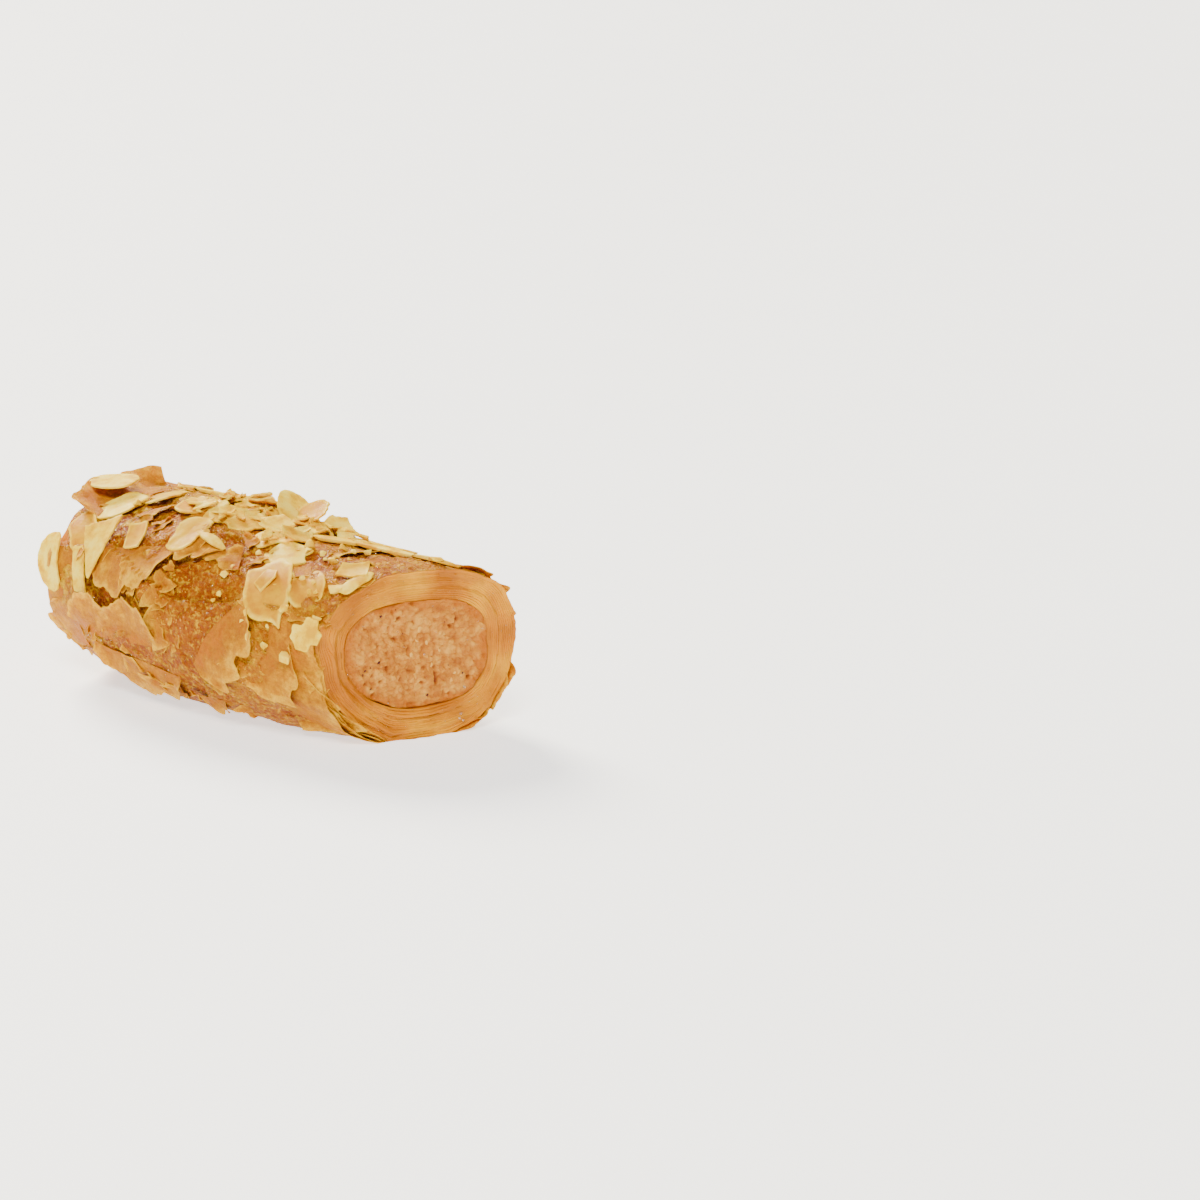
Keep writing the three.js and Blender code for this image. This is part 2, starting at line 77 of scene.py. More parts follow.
# %% Named sizes, in millimetres
MM = 0.001
ROLL_LENGTH = 93
HALF_WIDTH = 25
HALF_HEIGHT = 21.8
SECTION_POWER = 2.3
SIT = 0.94
BEND = 2
CUT_ANGLE = 22
FAR_LIFT = dict(height=3, start=0.35)
END_SWELL = 2.4
NEAR_END = dict(width=0.82, dip=0.03, shift=0.8, taper=0.19)
FAR_END = dict(width=0.9, height=0.93)
SAG = dict(amount=0.105, start=-0.3, over=0.8)
NEAR_POWERS = dict(top_right=2.25, top_left=2.15, bottom_left=2.1, bottom_right=2.35)
PASTE_NEAR = dict(half_width=15.4, half_height=11.9, y=0.6, z=18.5)
PASTE_FAR = dict(half_width=15.2, half_height=12.4, y=-0.4, z=22.4)
PASTE_POWERS = dict(top_right=3, top_left=2.9, bottom_left=1.9, bottom_right=2.6)
LEAF_GAP = 0.3
WRINKLES = [(0.3, 3, 2.1, 1.3), (0.22, 7, -5.3, 0.4), (0.16, 12, 9.1, 2.2)]
LEAF_EDGES = [(152, 0.8, 60, 7), (24, 0.7, 70, 9), (318, 0.7, 50, 6)]
EDGE_WANDER = 5


# %% The rule for the skin and for the paste
def signed_power(value, power):
    return np.sign(value) * np.abs(value) ** power


def smooth_step(value):
    held = np.clip(value, 0, 1)
    return held * held * (3 - 2 * held)


def quadrant_power(powers, cosine, sine):
    top = np.where(cosine >= 0, powers["top_right"], powers["top_left"])
    bottom = np.where(cosine >= 0, powers["bottom_right"], powers["bottom_left"])
    return np.where(sine >= 0, top, bottom)


def station_x(along, y):
    near_x = ROLL_LENGTH / 2 + math.tan(math.radians(CUT_ANGLE)) * y
    return -ROLL_LENGTH / 2 + (near_x + ROLL_LENGTH / 2) * (along + 1) / 2


def skin_point(along, around, out=0.0):
    along, around, out = np.broadcast_arrays(*(np.asarray(v, float) for v in (along, around, out)))
    cosine, sine = np.cos(np.radians(around)), np.sin(np.radians(around))
    near, far = np.maximum(0, along) ** END_SWELL, np.maximum(0, -along) ** END_SWELL
    sag = SAG["amount"] * smooth_step((along - SAG["start"]) / SAG["over"])
    half_width = HALF_WIDTH * (1 - (1 - NEAR_END["width"]) * near - (1 - FAR_END["width"]) * far)
    half_height = HALF_HEIGHT * (1 - sag - NEAR_END["dip"] * near - (1 - FAR_END["height"]) * far)
    lift = FAR_LIFT["height"] * (np.maximum(0, -along - FAR_LIFT["start"]) / (1 - FAR_LIFT["start"])) ** 2
    power = 2 / (SECTION_POWER + (quadrant_power(NEAR_POWERS, cosine, sine) - SECTION_POWER) * near)
    rise = half_height * signed_power(sine, power)
    reach = half_width * signed_power(cosine, power) + out * cosine
    side = reach * (1 + NEAR_END["taper"] * near * rise / half_height)
    height = half_height * SIT + lift + rise * (1 - lift / (2 * half_height)) + out * sine
    y = side - BEND * (1 - along * along) + NEAR_END["shift"] * near
    return np.stack([station_x(along, y), y, np.maximum(0, height)], -1)


def skin_relief(along, around):
    height = 0
    for tall, per_turn, per_length, phase in WRINKLES:
        height = height + tall * np.sin(per_turn * np.radians(around) + per_length * along + phase)
    for place, step, run, wander in LEAF_EDGES:
        past = (around - place - wander * np.sin(EDGE_WANDER * along + place)) % 360
        height = height + step * np.maximum(0, 1 - past / run)
    return height


def relief_point(along, around, out=0.0):
    return skin_point(along, around, skin_relief(np.clip(along, -1, 1), around) + out)


def paste_point(along, around, inset=0.0):
    cosine, sine = np.cos(np.radians(around)), np.sin(np.radians(around))
    power = 2 / quadrant_power(PASTE_POWERS, cosine, sine)
    share = (along + 1) / 2
    size = {key: PASTE_FAR[key] + (PASTE_NEAR[key] - PASTE_FAR[key]) * share for key in PASTE_NEAR}
    y = size["y"] - BEND * (1 - along**2) + (size["half_width"] - inset) * signed_power(cosine, power)
    z = size["z"] + (size["half_height"] - inset) * signed_power(sine, power)
    return np.stack([station_x(along, y), y, z], -1)


# %% Where the rule's own middle lies in the frame
paste_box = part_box("almond_filling")
paste_corner = paste_point(1.0, 0.0, LEAF_GAP)
SHIFT = np.array([paste_box[1][0] / MM - paste_corner[0], paste_box[1][1] / MM - paste_corner[1], 0.0])
print("the rule's middle lies at", SHIFT.round(2), "mm in the frame")


# %% [markdown]
# ## Noise and meshes
#
# Baked leaves are never smooth. A lattice noise gives the same crackle on every run: random values on a
# grid of cells, blended smoothly between them. Meshes are made from arrays of points, which is much faster
# than adding vertices one at a time, and each one can carry named values that its material reads later.

# %% Lattice noise
CELL_PRIMES = np.array([73856093, 19349663, 83492791])
SEED_PRIME = 7919
WORD = 0xFFFFFFFF


def scramble(key):
    """Whole numbers turned into others that look random, the same on every run."""
    key = ((key ^ (key >> 13)) * 1274126177) & WORD
    return ((key ^ (key >> 15)) * 2246822519) & WORD


def lattice_noise(points, cell, seed):
    """Smooth noise from -1 to 1, with lumps about one cell (mm) across."""
    spots = np.asarray(points, float) / cell
    base = np.floor(spots).astype(np.int64)
    blend = spots - base
    blend = blend * blend * (3 - 2 * blend)
    total = np.zeros(spots.shape[:-1])
    for corner in np.ndindex(2, 2, 2):
        key = scramble((base + corner) @ CELL_PRIMES + SEED_PRIME * seed)
        value = (key ^ (key >> 16)) / 2**32
        total += value * np.prod(np.where(corner, blend, 1 - blend), -1)
    return 2 * total - 1


def layered_noise(points, cell, seed, layers=3):
    """Lattice noise with finer and weaker copies of itself on top."""
    return sum(lattice_noise(points, cell / 2**layer, seed + layer) / 2**layer for layer in range(layers))


noise_row = layered_noise(np.arange(300)[:, None] * [0.1, 0.2, 0.3], 2.0, 1)
print("layered noise spans", noise_row.min().round(2), "to", noise_row.max().round(2))


# %% Mesh helpers
def rows_of(keys, table, **same):
    """One dict for each row of a table, from a line of keys and whatever is the same in all of them."""
    return [dict(zip(keys.split(), row), **same) for row in table]


def grid_faces(rows, columns, wrap_rows=False, wrap_columns=False):
    row = np.arange(rows if wrap_rows else rows - 1)[:, None]
    column = np.arange(columns if wrap_columns else columns - 1)[None, :]
    here, beside = row * columns + column, row * columns + (column + 1) % columns
    below = ((row + 1) % rows) * columns
    return np.stack([here, beside, below + (column + 1) % columns, below + column], -1).reshape(-1, 4)


def capped_tube(rings):
    """Points and faces of a tube of rings, closed at both ends by triangles to a middle point."""
    count, sides = rings.shape[:2]
    faces = grid_faces(count, sides, wrap_columns=True).tolist()
    last = (count - 1) * sides
    first_hub = count * sides
    pairs = [(side, (side + 1) % sides) for side in range(sides)]
    faces += [[first_hub, beside, side] for side, beside in pairs]
    faces += [[first_hub + 1, last + side, last + beside] for side, beside in pairs]
    return np.concatenate([rings.reshape(-1, 3), rings[:1].mean(1), rings[-1:].mean(1)]), faces


def mesh_piece(name, points, faces, values=None, smooth=True):
    """A mesh object from points in the rule's millimetres, with named values for every point."""
    mesh = bpy.data.meshes.new(name)
    placed = (np.asarray(points, float).reshape(-1, 3) + SHIFT) * MM
    mesh.from_pydata(placed.tolist(), [], [list(map(int, face)) for face in faces])
    for key, numbers in (values or {}).items():
        layer = mesh.attributes.new(key, "FLOAT", "POINT")
        layer.data.foreach_set("value", np.asarray(numbers, np.float32).ravel())
    mesh.polygons.foreach_set("use_smooth", [smooth] * len(mesh.polygons))
    mesh.update()
    piece = bpy.data.objects.new(name, mesh)
    bpy.context.scene.collection.objects.link(piece)
    return piece


def face_outward(piece):
    """Turns a closed mesh the right way out by the sign of its volume."""
    mesh = piece.data
    mesh.calc_loop_triangles()
    spots = np.empty(3 * len(mesh.vertices))
    mesh.vertices.foreach_get("co", spots)
    corners = np.empty(3 * len(mesh.loop_triangles), int)
    mesh.loop_triangles.foreach_get("vertices", corners)
    a, b, c = (spots.reshape(-1, 3)[corners.reshape(-1, 3)[:, k]] for k in range(3))
    if np.einsum("ij,ij->i", a, np.cross(b, c)).sum() < 0:
        mesh.flip_normals()
    return piece


def join_parts(name, parts, smooth=True):
    """One mesh from a list of (points, faces, values)."""
    points, faces, start = [], [], 0
    for spots, quads, _ in parts:
        points.append(np.asarray(spots).reshape(-1, 3))
        faces.extend([[corner + start for corner in face] for face in quads])
        start += len(points[-1])
    values = {key: np.concatenate([np.ravel(part[2][key]) for part in parts]) for key in parts[0][2]}
    return mesh_piece(name, np.concatenate(points), faces, values, smooth)


# %% [markdown]
# ## Finishes
#
# Baked filo is thin and soaked in syrup: light goes in, scatters and comes out golden, and a clear film of
# syrup shines on top. So each finish is a Principled shader with some subsurface scattering and a coat, and
# its colour varies by noise in Object coordinates and by values that the meshes carry, such as how dry an
# edge is. One number that is the same all over is set straight on the shader's socket.

# %% Node helpers for the finishes
def new_finish(name, **sockets):
    """A Principled material. Each keyword is a socket of the shader, with _ for a space."""
    finish = bpy.data.materials.new(name)
    finish.use_nodes = True
    for socket, value in sockets.items():
        finish.node_tree.nodes["Principled BSDF"].inputs[socket.replace("_", " ")].default_value = value
    return finish, finish.node_tree


def feed(tree, socket, value):
    if isinstance(value, bpy.types.NodeSocket):
        tree.links.new(value, socket)
    else:
        socket.default_value = value


def add_node(tree, kind, inputs=None, **settings):
    node = tree.nodes.new(kind)
    for key, value in settings.items():
        setattr(node, key, value)
    for key, value in (inputs or {}).items():
        feed(tree, node.inputs[key], value)
    return node


def grain(tree, size, detail=3.0, roughness=0.6, stretch=(1, 1, 1)):
    """Noise with lumps about size mm across, in Object coordinates."""
    place = add_node(tree, "ShaderNodeTexCoord").outputs["Object"]
    spread = add_node(tree, "ShaderNodeMapping", {"Vector": place, "Scale": stretch}).outputs[0]
    inputs = {"Vector": spread, "Scale": 1 / (size * MM), "Detail": detail, "Roughness": roughness}
    return add_node(tree, "ShaderNodeTexNoise", inputs).outputs["Fac"]


def carried(tree, key):
    """A value that the mesh carries at each point."""
    return add_node(tree, "ShaderNodeAttribute", attribute_name=key).outputs["Fac"]


def full_colour(value):
    return (value,) * 3 + (1,) if isinstance(value, (int, float)) else (*value, 1)


def ramp(tree, value, stops):
    node = add_node(tree, "ShaderNodeValToRGB", {"Fac": value})
    while len(node.color_ramp.elements) < len(stops):
        node.color_ramp.elements.new(0.5)
    for element, (position, colour) in zip(node.color_ramp.elements, stops):
        element.position = position
        element.color = full_colour(colour)
    return node.outputs["Color"]


def blend_colours(tree, share, first, second, way="MIX"):
    first, second = (full_colour(v) if isinstance(v, tuple) else v for v in (first, second))
    inputs = {0: share, 6: first, 7: second}
    return add_node(tree, "ShaderNodeMix", inputs, data_type="RGBA", blend_type=way).outputs[2]


def reckon(tree, way, first, second):
    return add_node(tree, "ShaderNodeMath", {0: first, 1: second}, operation=way).outputs[0]


def dress(finish, colour, rough=None, bump=None):
    """Feeds a finish its colour, roughness (grain size, least, most) and bump (height, mm, strength)."""
    tree = finish.node_tree
    sockets = tree.nodes["Principled BSDF"].inputs
    feed(tree, sockets["Base Color"], colour)
    if rough:
        size, least, most = rough
        feed(tree, sockets["Roughness"], ramp(tree, grain(tree, size, 3), [(0.3, least), (0.7, most)]))
    if bump:
        height, depth, strength = bump
        inputs = {"Height": height, "Distance": depth * MM, "Strength": strength}
        normal = add_node(tree, "ShaderNodeBump", inputs).outputs["Normal"]
        feed(tree, sockets["Normal"], normal)
        feed(tree, sockets["Coat Normal"], normal)
    print("finish", finish.name, "with", len(tree.nodes), "nodes")
    return finish


SYRUPY_RADIUS = (1.0, 0.7, 0.35)

# %% [markdown]
# ### Glazed filo
#
# The outer leaf is golden to amber, dusted with a crust of sugar. One noise could colour it, but then the
# colour wouldn't know where the scraps of leaf lie. So broad patches are blended with each scrap's own
# level, which the mesh carries, giving painted shade on the lower scraps and paler raised ones. Torn
# borders turn pale, the far end's top gets painted light, and the sugar gives bump, with painted shade in
# its pits and a paler crust with painted highlights on its grains.

# %% Glazed filo: golden to amber, painted shade on lower scraps and sugar pits, painted light on top
YELLOW = (0.64, 0.305, 0.0)
GOLD = (0.61, 0.235, 0.0)
AMBER = (0.52, 0.155, 0.0)
# Browner patches, and painted shade on the lowest scraps of leaf
BURNT_AND_SHADE = (0.34, 0.062, 0.0)
TAN = (0.63, 0.262, 0.0)
# Pale dry edges and sugar crust, also used for painted light on the far top and painted highlights on sugar
# grains
PALE_EDGE_AND_HIGHLIGHT = (0.8, 0.48, 0.0)
WHITE = (1.0, 1.0, 1.0)


def glazed_filo_finish():
    finish, tree = new_finish(
        "glazed_filo", Subsurface_Weight=0.08, Subsurface_Scale=0.0008, Subsurface_Radius=SYRUPY_RADIUS,
        Coat_Weight=0.16, Coat_Roughness=0.12, Specular_IOR_Level=0.06,
    )
    patches = ramp(tree, grain(tree, 15, 4), [(0.3, GOLD), (0.5, AMBER), (0.68, BURNT_AND_SHADE)])
    # Each scrap's own tone, ordered by its level: painted shade on the lower scraps, painted light on the
    # raised ones
    scraps = ramp(tree, carried(tree, "layer"), [(0.2, BURNT_AND_SHADE), (0.47, AMBER), (0.68, GOLD), (0.9, YELLOW)])
    raised = blend_colours(tree, 0.7, patches, scraps)
    toasted = ramp(tree, grain(tree, 2.4, 5, 0.75), [(0.35, 1.0), (0.58, 0.66), (0.72, 0.42)])
    mottled = blend_colours(tree, 0.45, raised, toasted, "MULTIPLY")
    torn = ramp(tree, grain(tree, 2.5, 3), [(0.45, 0.0), (0.62, 0.6)])
    # Torn borders turn pale, and the same value paints light on the far end's top
    edged_and_far_top_light = blend_colours(tree, reckon(tree, "MULTIPLY", carried(tree, "edge"), torn), mottled, PALE_EDGE_AND_HIGHLIGHT)
    sugar = ramp(tree, grain(tree, 1.0, 4, 0.6), [(0.36, 0.0), (0.64, 1.0)])
    # Painted shade: darker where the sugar's bump sinks
    painted_sugar_pit_shade = ramp(tree, sugar, [(0.0, (0.7, 0.5, 0.3)), (0.5, WHITE)])
    grainy = blend_colours(tree, 0.85, edged_and_far_top_light, painted_sugar_pit_shade, "MULTIPLY")
    # The sugar's high places turn paler: a paler crust with a painted highlight
    with_sugar_crust_and_highlight = blend_colours(tree, ramp(tree, sugar, [(0.65, 0.0), (1.0, 0.5)]), grainy, PALE_EDGE_AND_HIGHLIGHT)
    return dress(finish, with_sugar_crust_and_highlight, rough=(2.2, 0.35, 0.7), bump=(sugar, 0.6, 1.0))


GLAZED_FILO = glazed_filo_finish()

# %% [markdown]
# ### Torn leaf
#
# A leaf that has lifted off dries out: brown and glossy at its root, tan and dull at the torn edge, with
# specks of toast. A picture of paper could be wrapped on it, but the tear has to match the mesh. So the
# mesh carries how dry each point is, and noise only blurs where one shade gives way to the next.

# %% Torn leaf: dry and tan, with a paler torn edge and a browner root
LEAF_GOLD = (0.47, 0.165, 0.0)
LEAF_PALE = (0.86, 0.46, 0.02)


def torn_leaf_finish():
    finish, tree = new_finish(
        "torn_leaf", Subsurface_Weight=0.2, Subsurface_Scale=0.001, Subsurface_Radius=(1.0, 0.5, 0.2),
        Coat_Weight=0.03, Coat_Roughness=0.15, Specular_IOR_Level=0.06,
    )
    spread = reckon(tree, "MULTIPLY", reckon(tree, "SUBTRACT", grain(tree, 4.5, 5, 0.7), 0.5), 2.4)
    dryness = reckon(tree, "ADD", carried(tree, "dry"), spread)
    dried = ramp(tree, dryness, [(0.0, AMBER), (0.3, LEAF_GOLD), (0.62, TAN), (0.98, LEAF_PALE)])
    speckle = ramp(tree, grain(tree, 1.1, 5, 0.75), [(0.4, WHITE), (0.62, (0.66, 0.5, 0.35))])
    speckled = blend_colours(tree, 0.6, dried, speckle, "MULTIPLY")
    return dress(finish, speckled, rough=(3, 0.38, 0.66), bump=(grain(tree, 1.0, 5, 0.72), 0.6, 1.0))


TORN_LEAF = torn_leaf_finish()

# %% [markdown]
# ### Cut leaf edges
#
# Inside the roll the leaves are soft and full of syrup, so at the cut they look like honey, each turn a
# little lighter or darker than the next. Stripes could be painted on a flat face, but then they would miss
# the real turns. So every turn carries its own shade, and noise makes it cloudy.

# %% Cut leaf edges: translucent honey
CUT_DARK = (0.47, 0.135, 0.0)
CUT_HONEY = (0.62, 0.21, 0.0)
CUT_PALE = (0.76, 0.32, 0.0)


def cut_leaf_finish():
    finish, tree = new_finish(
        "cut_leaf", Subsurface_Weight=0.12, Subsurface_Scale=0.001, Subsurface_Radius=SYRUPY_RADIUS,
        Coat_Weight=0.16, Coat_Roughness=0.06, Specular_IOR_Level=0.06,
    )
    turns = ramp(tree, carried(tree, "shade"), [(0.15, CUT_DARK), (0.5, CUT_HONEY), (0.85, CUT_PALE)])
    cloudy = ramp(tree, grain(tree, 2.5, 4), [(0.35, 1.0), (0.7, 0.7)])
    clouded = blend_colours(tree, 0.6, turns, cloudy, "MULTIPLY")
    return dress(finish, clouded, rough=(1.5, 0.22, 0.5), bump=(grain(tree, 0.9, 4), 0.2, 0.9))


CUT_LEAF = cut_leaf_finish()

# %% [markdown]
# ### Almond
#
# A baked almond slice is ivory, with gold where the oven caught its middle and a paler rim. The same finish
# serves flakes, sticks and nibs. A separate one for each shade would do, but one that reads "toast" and
# "rim" from the mesh lets every piece have its own shade at no cost.

# %% Almond: cream at the rim and gold where the oven caught it
ALMOND_CREAM = (0.88, 0.56, 0.01)
ALMOND_IVORY = (0.96, 0.73, 0.1)
ALMOND_GOLD = (0.68, 0.35, 0.0)
ALMOND_TOAST = (0.56, 0.22, 0.0)


def almond_finish():
    finish, tree = new_finish(
        "flaked_almond", Subsurface_Weight=0.2, Subsurface_Scale=0.0012, Subsurface_Radius=SYRUPY_RADIUS,
        Coat_Weight=0.05, Coat_Roughness=0.15, Specular_IOR_Level=0.06,
    )
    shades = [(0.35, ALMOND_GOLD), (0.47, ALMOND_CREAM), (0.62, ALMOND_IVORY)]
    cream = ramp(tree, grain(tree, 3.5, 4), shades)
    gold = ramp(tree, grain(tree, 3, 4), [(0.38, ALMOND_GOLD), (0.62, ALMOND_TOAST)])
    middle = reckon(tree, "SUBTRACT", 1.0, carried(tree, "rim"))
    toasted = reckon(tree, "MULTIPLY", carried(tree, "toast"), reckon(tree, "ADD", 0.25, middle))
    baked = blend_colours(tree, toasted, cream, gold)
    fibres = grain(tree, 0.7, 4, 0.7, (0.4, 1, 1))
    return dress(finish, baked, rough=(1.6, 0.48, 0.75), bump=(fibres, 0.1, 0.9))


ALMOND = almond_finish()

# %% [markdown]
# ### Almond paste
#
# Ground nuts and sugar give a warm beige with paler and darker grains, and a rim that has turned orange
# with syrup. Noise alone looks like sandstone. So the mesh carries each grain's tone and height, and the
# finish paints shade into the low pits and soaks the rim by the values it carries.

# %% Almond paste: warm beige ground nuts with paler and darker grains
PASTE_SHADE = (0.44, 0.145, 0.008)
PASTE_BEIGE = (0.57, 0.225, 0.018)
PASTE_LIGHT = (0.72, 0.35, 0.05)
PASTE_SOAKED = (0.46, 0.12, 0.0)


def paste_finish():
    finish, tree = new_finish(
        "ground_paste", Subsurface_Weight=0.1, Subsurface_Scale=0.0006, Subsurface_Radius=(1.0, 0.55, 0.3),
        Coat_Weight=0.15, Coat_Roughness=0.12, Specular_IOR_Level=0.1,
    )
    toned = reckon(tree, "MULTIPLY", carried(tree, "tone"), 0.5)
    mixed = reckon(tree, "ADD", toned, grain(tree, 3.4, 5, 0.7))
    ground = ramp(tree, mixed, [(0.45, PASTE_SHADE), (0.7, PASTE_BEIGE), (0.98, PASTE_LIGHT)])
    grains = ramp(tree, grain(tree, 0.8, 4, 0.7), [(0.3, 0.72), (0.55, 1.0)])
    speckled = blend_colours(tree, 0.6, ground, grains, "MULTIPLY")
    # Painted shade: the lower a place of the cut lies, the darker it is painted
    painted_pit_shade = [(0.05, (0.4, 0.2, 0.1)), (0.32, (0.84, 0.7, 0.6)), (0.55, WHITE)]
    with_painted_pit_shade = blend_colours(tree, 1.0, speckled, ramp(tree, carried(tree, "height"), painted_pit_shade), "MULTIPLY")
    soaked = blend_colours(tree, carried(tree, "soaked"), with_painted_pit_shade, PASTE_SOAKED)
    return dress(finish, soaked, rough=(1.2, 0.5, 0.85), bump=(grain(tree, 0.5, 4, 0.75), 0.3, 1.0))


PASTE = paste_finish()

# %% [markdown]
# ### Small things
#
# Nut chips, flecks of nut skin, toasted crumbs and beads of set syrup are tiny, so each finish has only a
# shade or two of noise and a fine bump. The syrup is glass of syrup's own refraction, tinted yellow,
# because a glossy paint would not show the leaf beneath it.

# %% Nut chips, nut skin specks, toasted crumbs and syrup
def chip_finish():
    finish, tree = new_finish(
        "nut_chip", Subsurface_Weight=0.3, Subsurface_Scale=0.001, Coat_Weight=0.1, Coat_Roughness=0.15,
        Roughness=0.5, Specular_IOR_Level=0.12,
    )
    pale = blend_colours(tree, grain(tree, 1.2, 3), (0.7, 0.35, 0.06), (0.8, 0.45, 0.1))
    clear = blend_colours(tree, grain(tree, 1.5, 3), (0.5, 0.18, 0.01), (0.6, 0.24, 0.02))
    nutty = blend_colours(tree, carried(tree, "toast"), pale, clear)
    return dress(finish, nutty, bump=(grain(tree, 0.4, 4), 0.06, 0.7))


def crumb_finish():
    finish, tree = new_finish(
        "toasted_crumb", Subsurface_Weight=0.3, Subsurface_Scale=0.001, Coat_Weight=0.2, Coat_Roughness=0.2,
        Roughness=0.45,
    )
    shades = [(0.3, AMBER), (0.5, GOLD), (0.62, TAN), (0.75, ALMOND_CREAM)]
    return dress(finish, ramp(tree, grain(tree, 2.2, 3, 0.7), shades), bump=(grain(tree, 0.4, 3), 0.05, 0.6))


def speck_finish():
    finish, tree = new_finish("nut_skin_speck", Roughness=0.5, Specular_IOR_Level=0.15)
    brown = ramp(tree, grain(tree, 0.6, 3), [(0.35, (0.025, 0.004, 0.003)), (0.65, (0.1, 0.02, 0.008))])
    return dress(finish, brown, bump=(grain(tree, 0.3, 3), 0.05, 0.6))


def syrup_finish():
    finish, tree = new_finish("set_syrup", Roughness=0.04, Transmission_Weight=0.85, IOR=1.42)
    tints = [(0.35, (1.0, 0.72, 0.3)), (0.65, (1.0, 0.88, 0.6))]
    return dress(finish, ramp(tree, grain(tree, 1.5, 2), tints))


CHIP = chip_finish()
CRUMB = crumb_finish()
SPECK = speck_finish()
SYRUP = syrup_finish()

# %% [markdown]
# ## The skin of the roll
#
# The wrap is one closed tube: skin, the two cut faces set a little back from the leaf edges, and the bore
# that the paste fills. It could be a plain lofted tube with bump, but flaky layers throw real shadows. So
# the skin is split into cells, as baked filo splits: each cell is one scrap of leaf with its own height and
# tilt, and borders between cells become torn steps. Large cells carry small ones, and each remembers its
# level.

# %% Scraps of leaf, large and small
ROUND_LENGTH = 2 * math.pi * HALF_HEIGHT
LARGE_SCRAP = dict(cell=12.5, step=0.75, tilt=0.6, seed=5)
SMALL_SCRAP = dict(cell=5.2, step=0.4, tilt=0.4, seed=6)
SCRAP_STRETCH = 0.75
TEAR_WIDTH = 0.5


def turned_by(around, place):
    """The angle from place to around, from -180 to 180 degrees."""
    return (np.asarray(around) - place + 180) % 360 - 180


def scraps(along, around, points, cell, step, tilt, seed):
    """Height in mm, the scrap's own level (0 to 1), and how near its torn border a point is (0 to 1)."""
    rng = np.random.default_rng(seed)
    count = int(ROLL_LENGTH * ROUND_LENGTH / cell**2)
    middles = rng.uniform([-0.54 * ROLL_LENGTH, 0], [0.54 * ROLL_LENGTH, ROUND_LENGTH], (count, 2))
    level, lean = rng.random(count), rng.uniform(0, 2 * math.pi, count)
    wander = [0.09 * cell * layered_noise(points, 0.3 * cell, seed + k, 3) for k in (40, 50)]
    u = along * ROLL_LENGTH / 2 + wander[0]
    v = np.radians(around) * HALF_HEIGHT + wander[1]
    height, own, border = np.empty(u.shape), np.empty(u.shape), np.empty(u.shape)
    for row in range(len(u)):
        du = SCRAP_STRETCH * (u[row][:, None] - middles[:, 0])
        dv = (v[row][:, None] - middles[:, 1] + ROUND_LENGTH / 2) % ROUND_LENGTH - ROUND_LENGTH / 2
        away = np.hypot(du, dv)
        nearest = away.argmin(1)
        place = np.arange(len(nearest))
        du, dv = du[place, nearest], dv[place, nearest]
        two = np.partition(away, 1, axis=1)
        own[row] = level[nearest]
        leaning = (du * np.cos(lean[nearest]) + dv * np.sin(lean[nearest])) / cell
        height[row] = step * level[nearest] + tilt * leaning
        border[row] = np.exp(-(((two[:, 1] - two[:, 0]) / TEAR_WIDTH) ** 2))
    return height, own, border


# %% Where the leaves have come apart at the cut, and where one turn stands out past the next
CUT_ROWS = 15
CUT_SETBACK = 1.3
CUT_START = 0.04
SPLAY = dict(around=220, width=42)
LIPS = rows_of("share around width step", [
    (0.4, 188, 62, 0.9), (0.72, 255, 48, 0.7), (0.2, 232, 40, 0.8), (0.6, 30, 50, 0.5),
])
LIP_RISE, LIP_SPAN, LIP_FADE = 0.05, 0.3, 0.2


def splay(around):
    """How far the rolled leaves have come apart at the cut, 0 to 1: most at the lower front."""
    return np.exp(-((turned_by(around, SPLAY["around"]) / SPLAY["width"]) ** 2))


def cut_steps(share, around):
    """Long steps where an inner turn of the roll stands out past the turns around it, in mm."""
    height = 0
    for lip in LIPS:
        away = turned_by(around, lip["around"]) / lip["width"]
        rise = smooth_step((share - lip["share"]) / LIP_RISE)
        rise = rise * smooth_step((lip["share"] + LIP_SPAN - share) / LIP_FADE)
        height = height + lip["step"] * rise * np.exp(-(away**2))
    return height


def cut_shade(points):
    return 0.5 + 0.5 * layered_noise(points, 7, 47, 2)


def cut_rows(rim, end, around):
    """The syrup-filled face of the cut, from skin to paste. It lies deep where the leaves come apart."""
    rows = []
    for share in np.linspace(CUT_START, 1, CUT_ROWS):
        ring = rim * (1 - share) + paste_point(float(end), around) * share
        deep = 0.3 + CUT_SETBACK * splay(around) + 0.14 * layered_noise(ring, 5, 41, 3)
        inward = np.maximum(deep - cut_steps(share, around), 0)
        ring[:, 0] -= end * inward * smooth_step((share - CUT_START) / 0.08)
        rows.append(ring)
    return np.stack(rows)


print("leaves splay at the cut by", splay([130, 175, 220]).round(2), "at 130, 175 and 220 degrees")


# %% The skin, from its scraps and fine relief
SKIN_STATIONS = 192
SKIN_SIDES = 400
SCRAP_LEVEL = -0.85
SCRAP_LIMITS = (-1.1, 0.15)
HIGHEST_SCRAP = 0.16
END_FADE = 0.06
SANDY = dict(along=-0.28, around=146, long=0.3, wide=22)


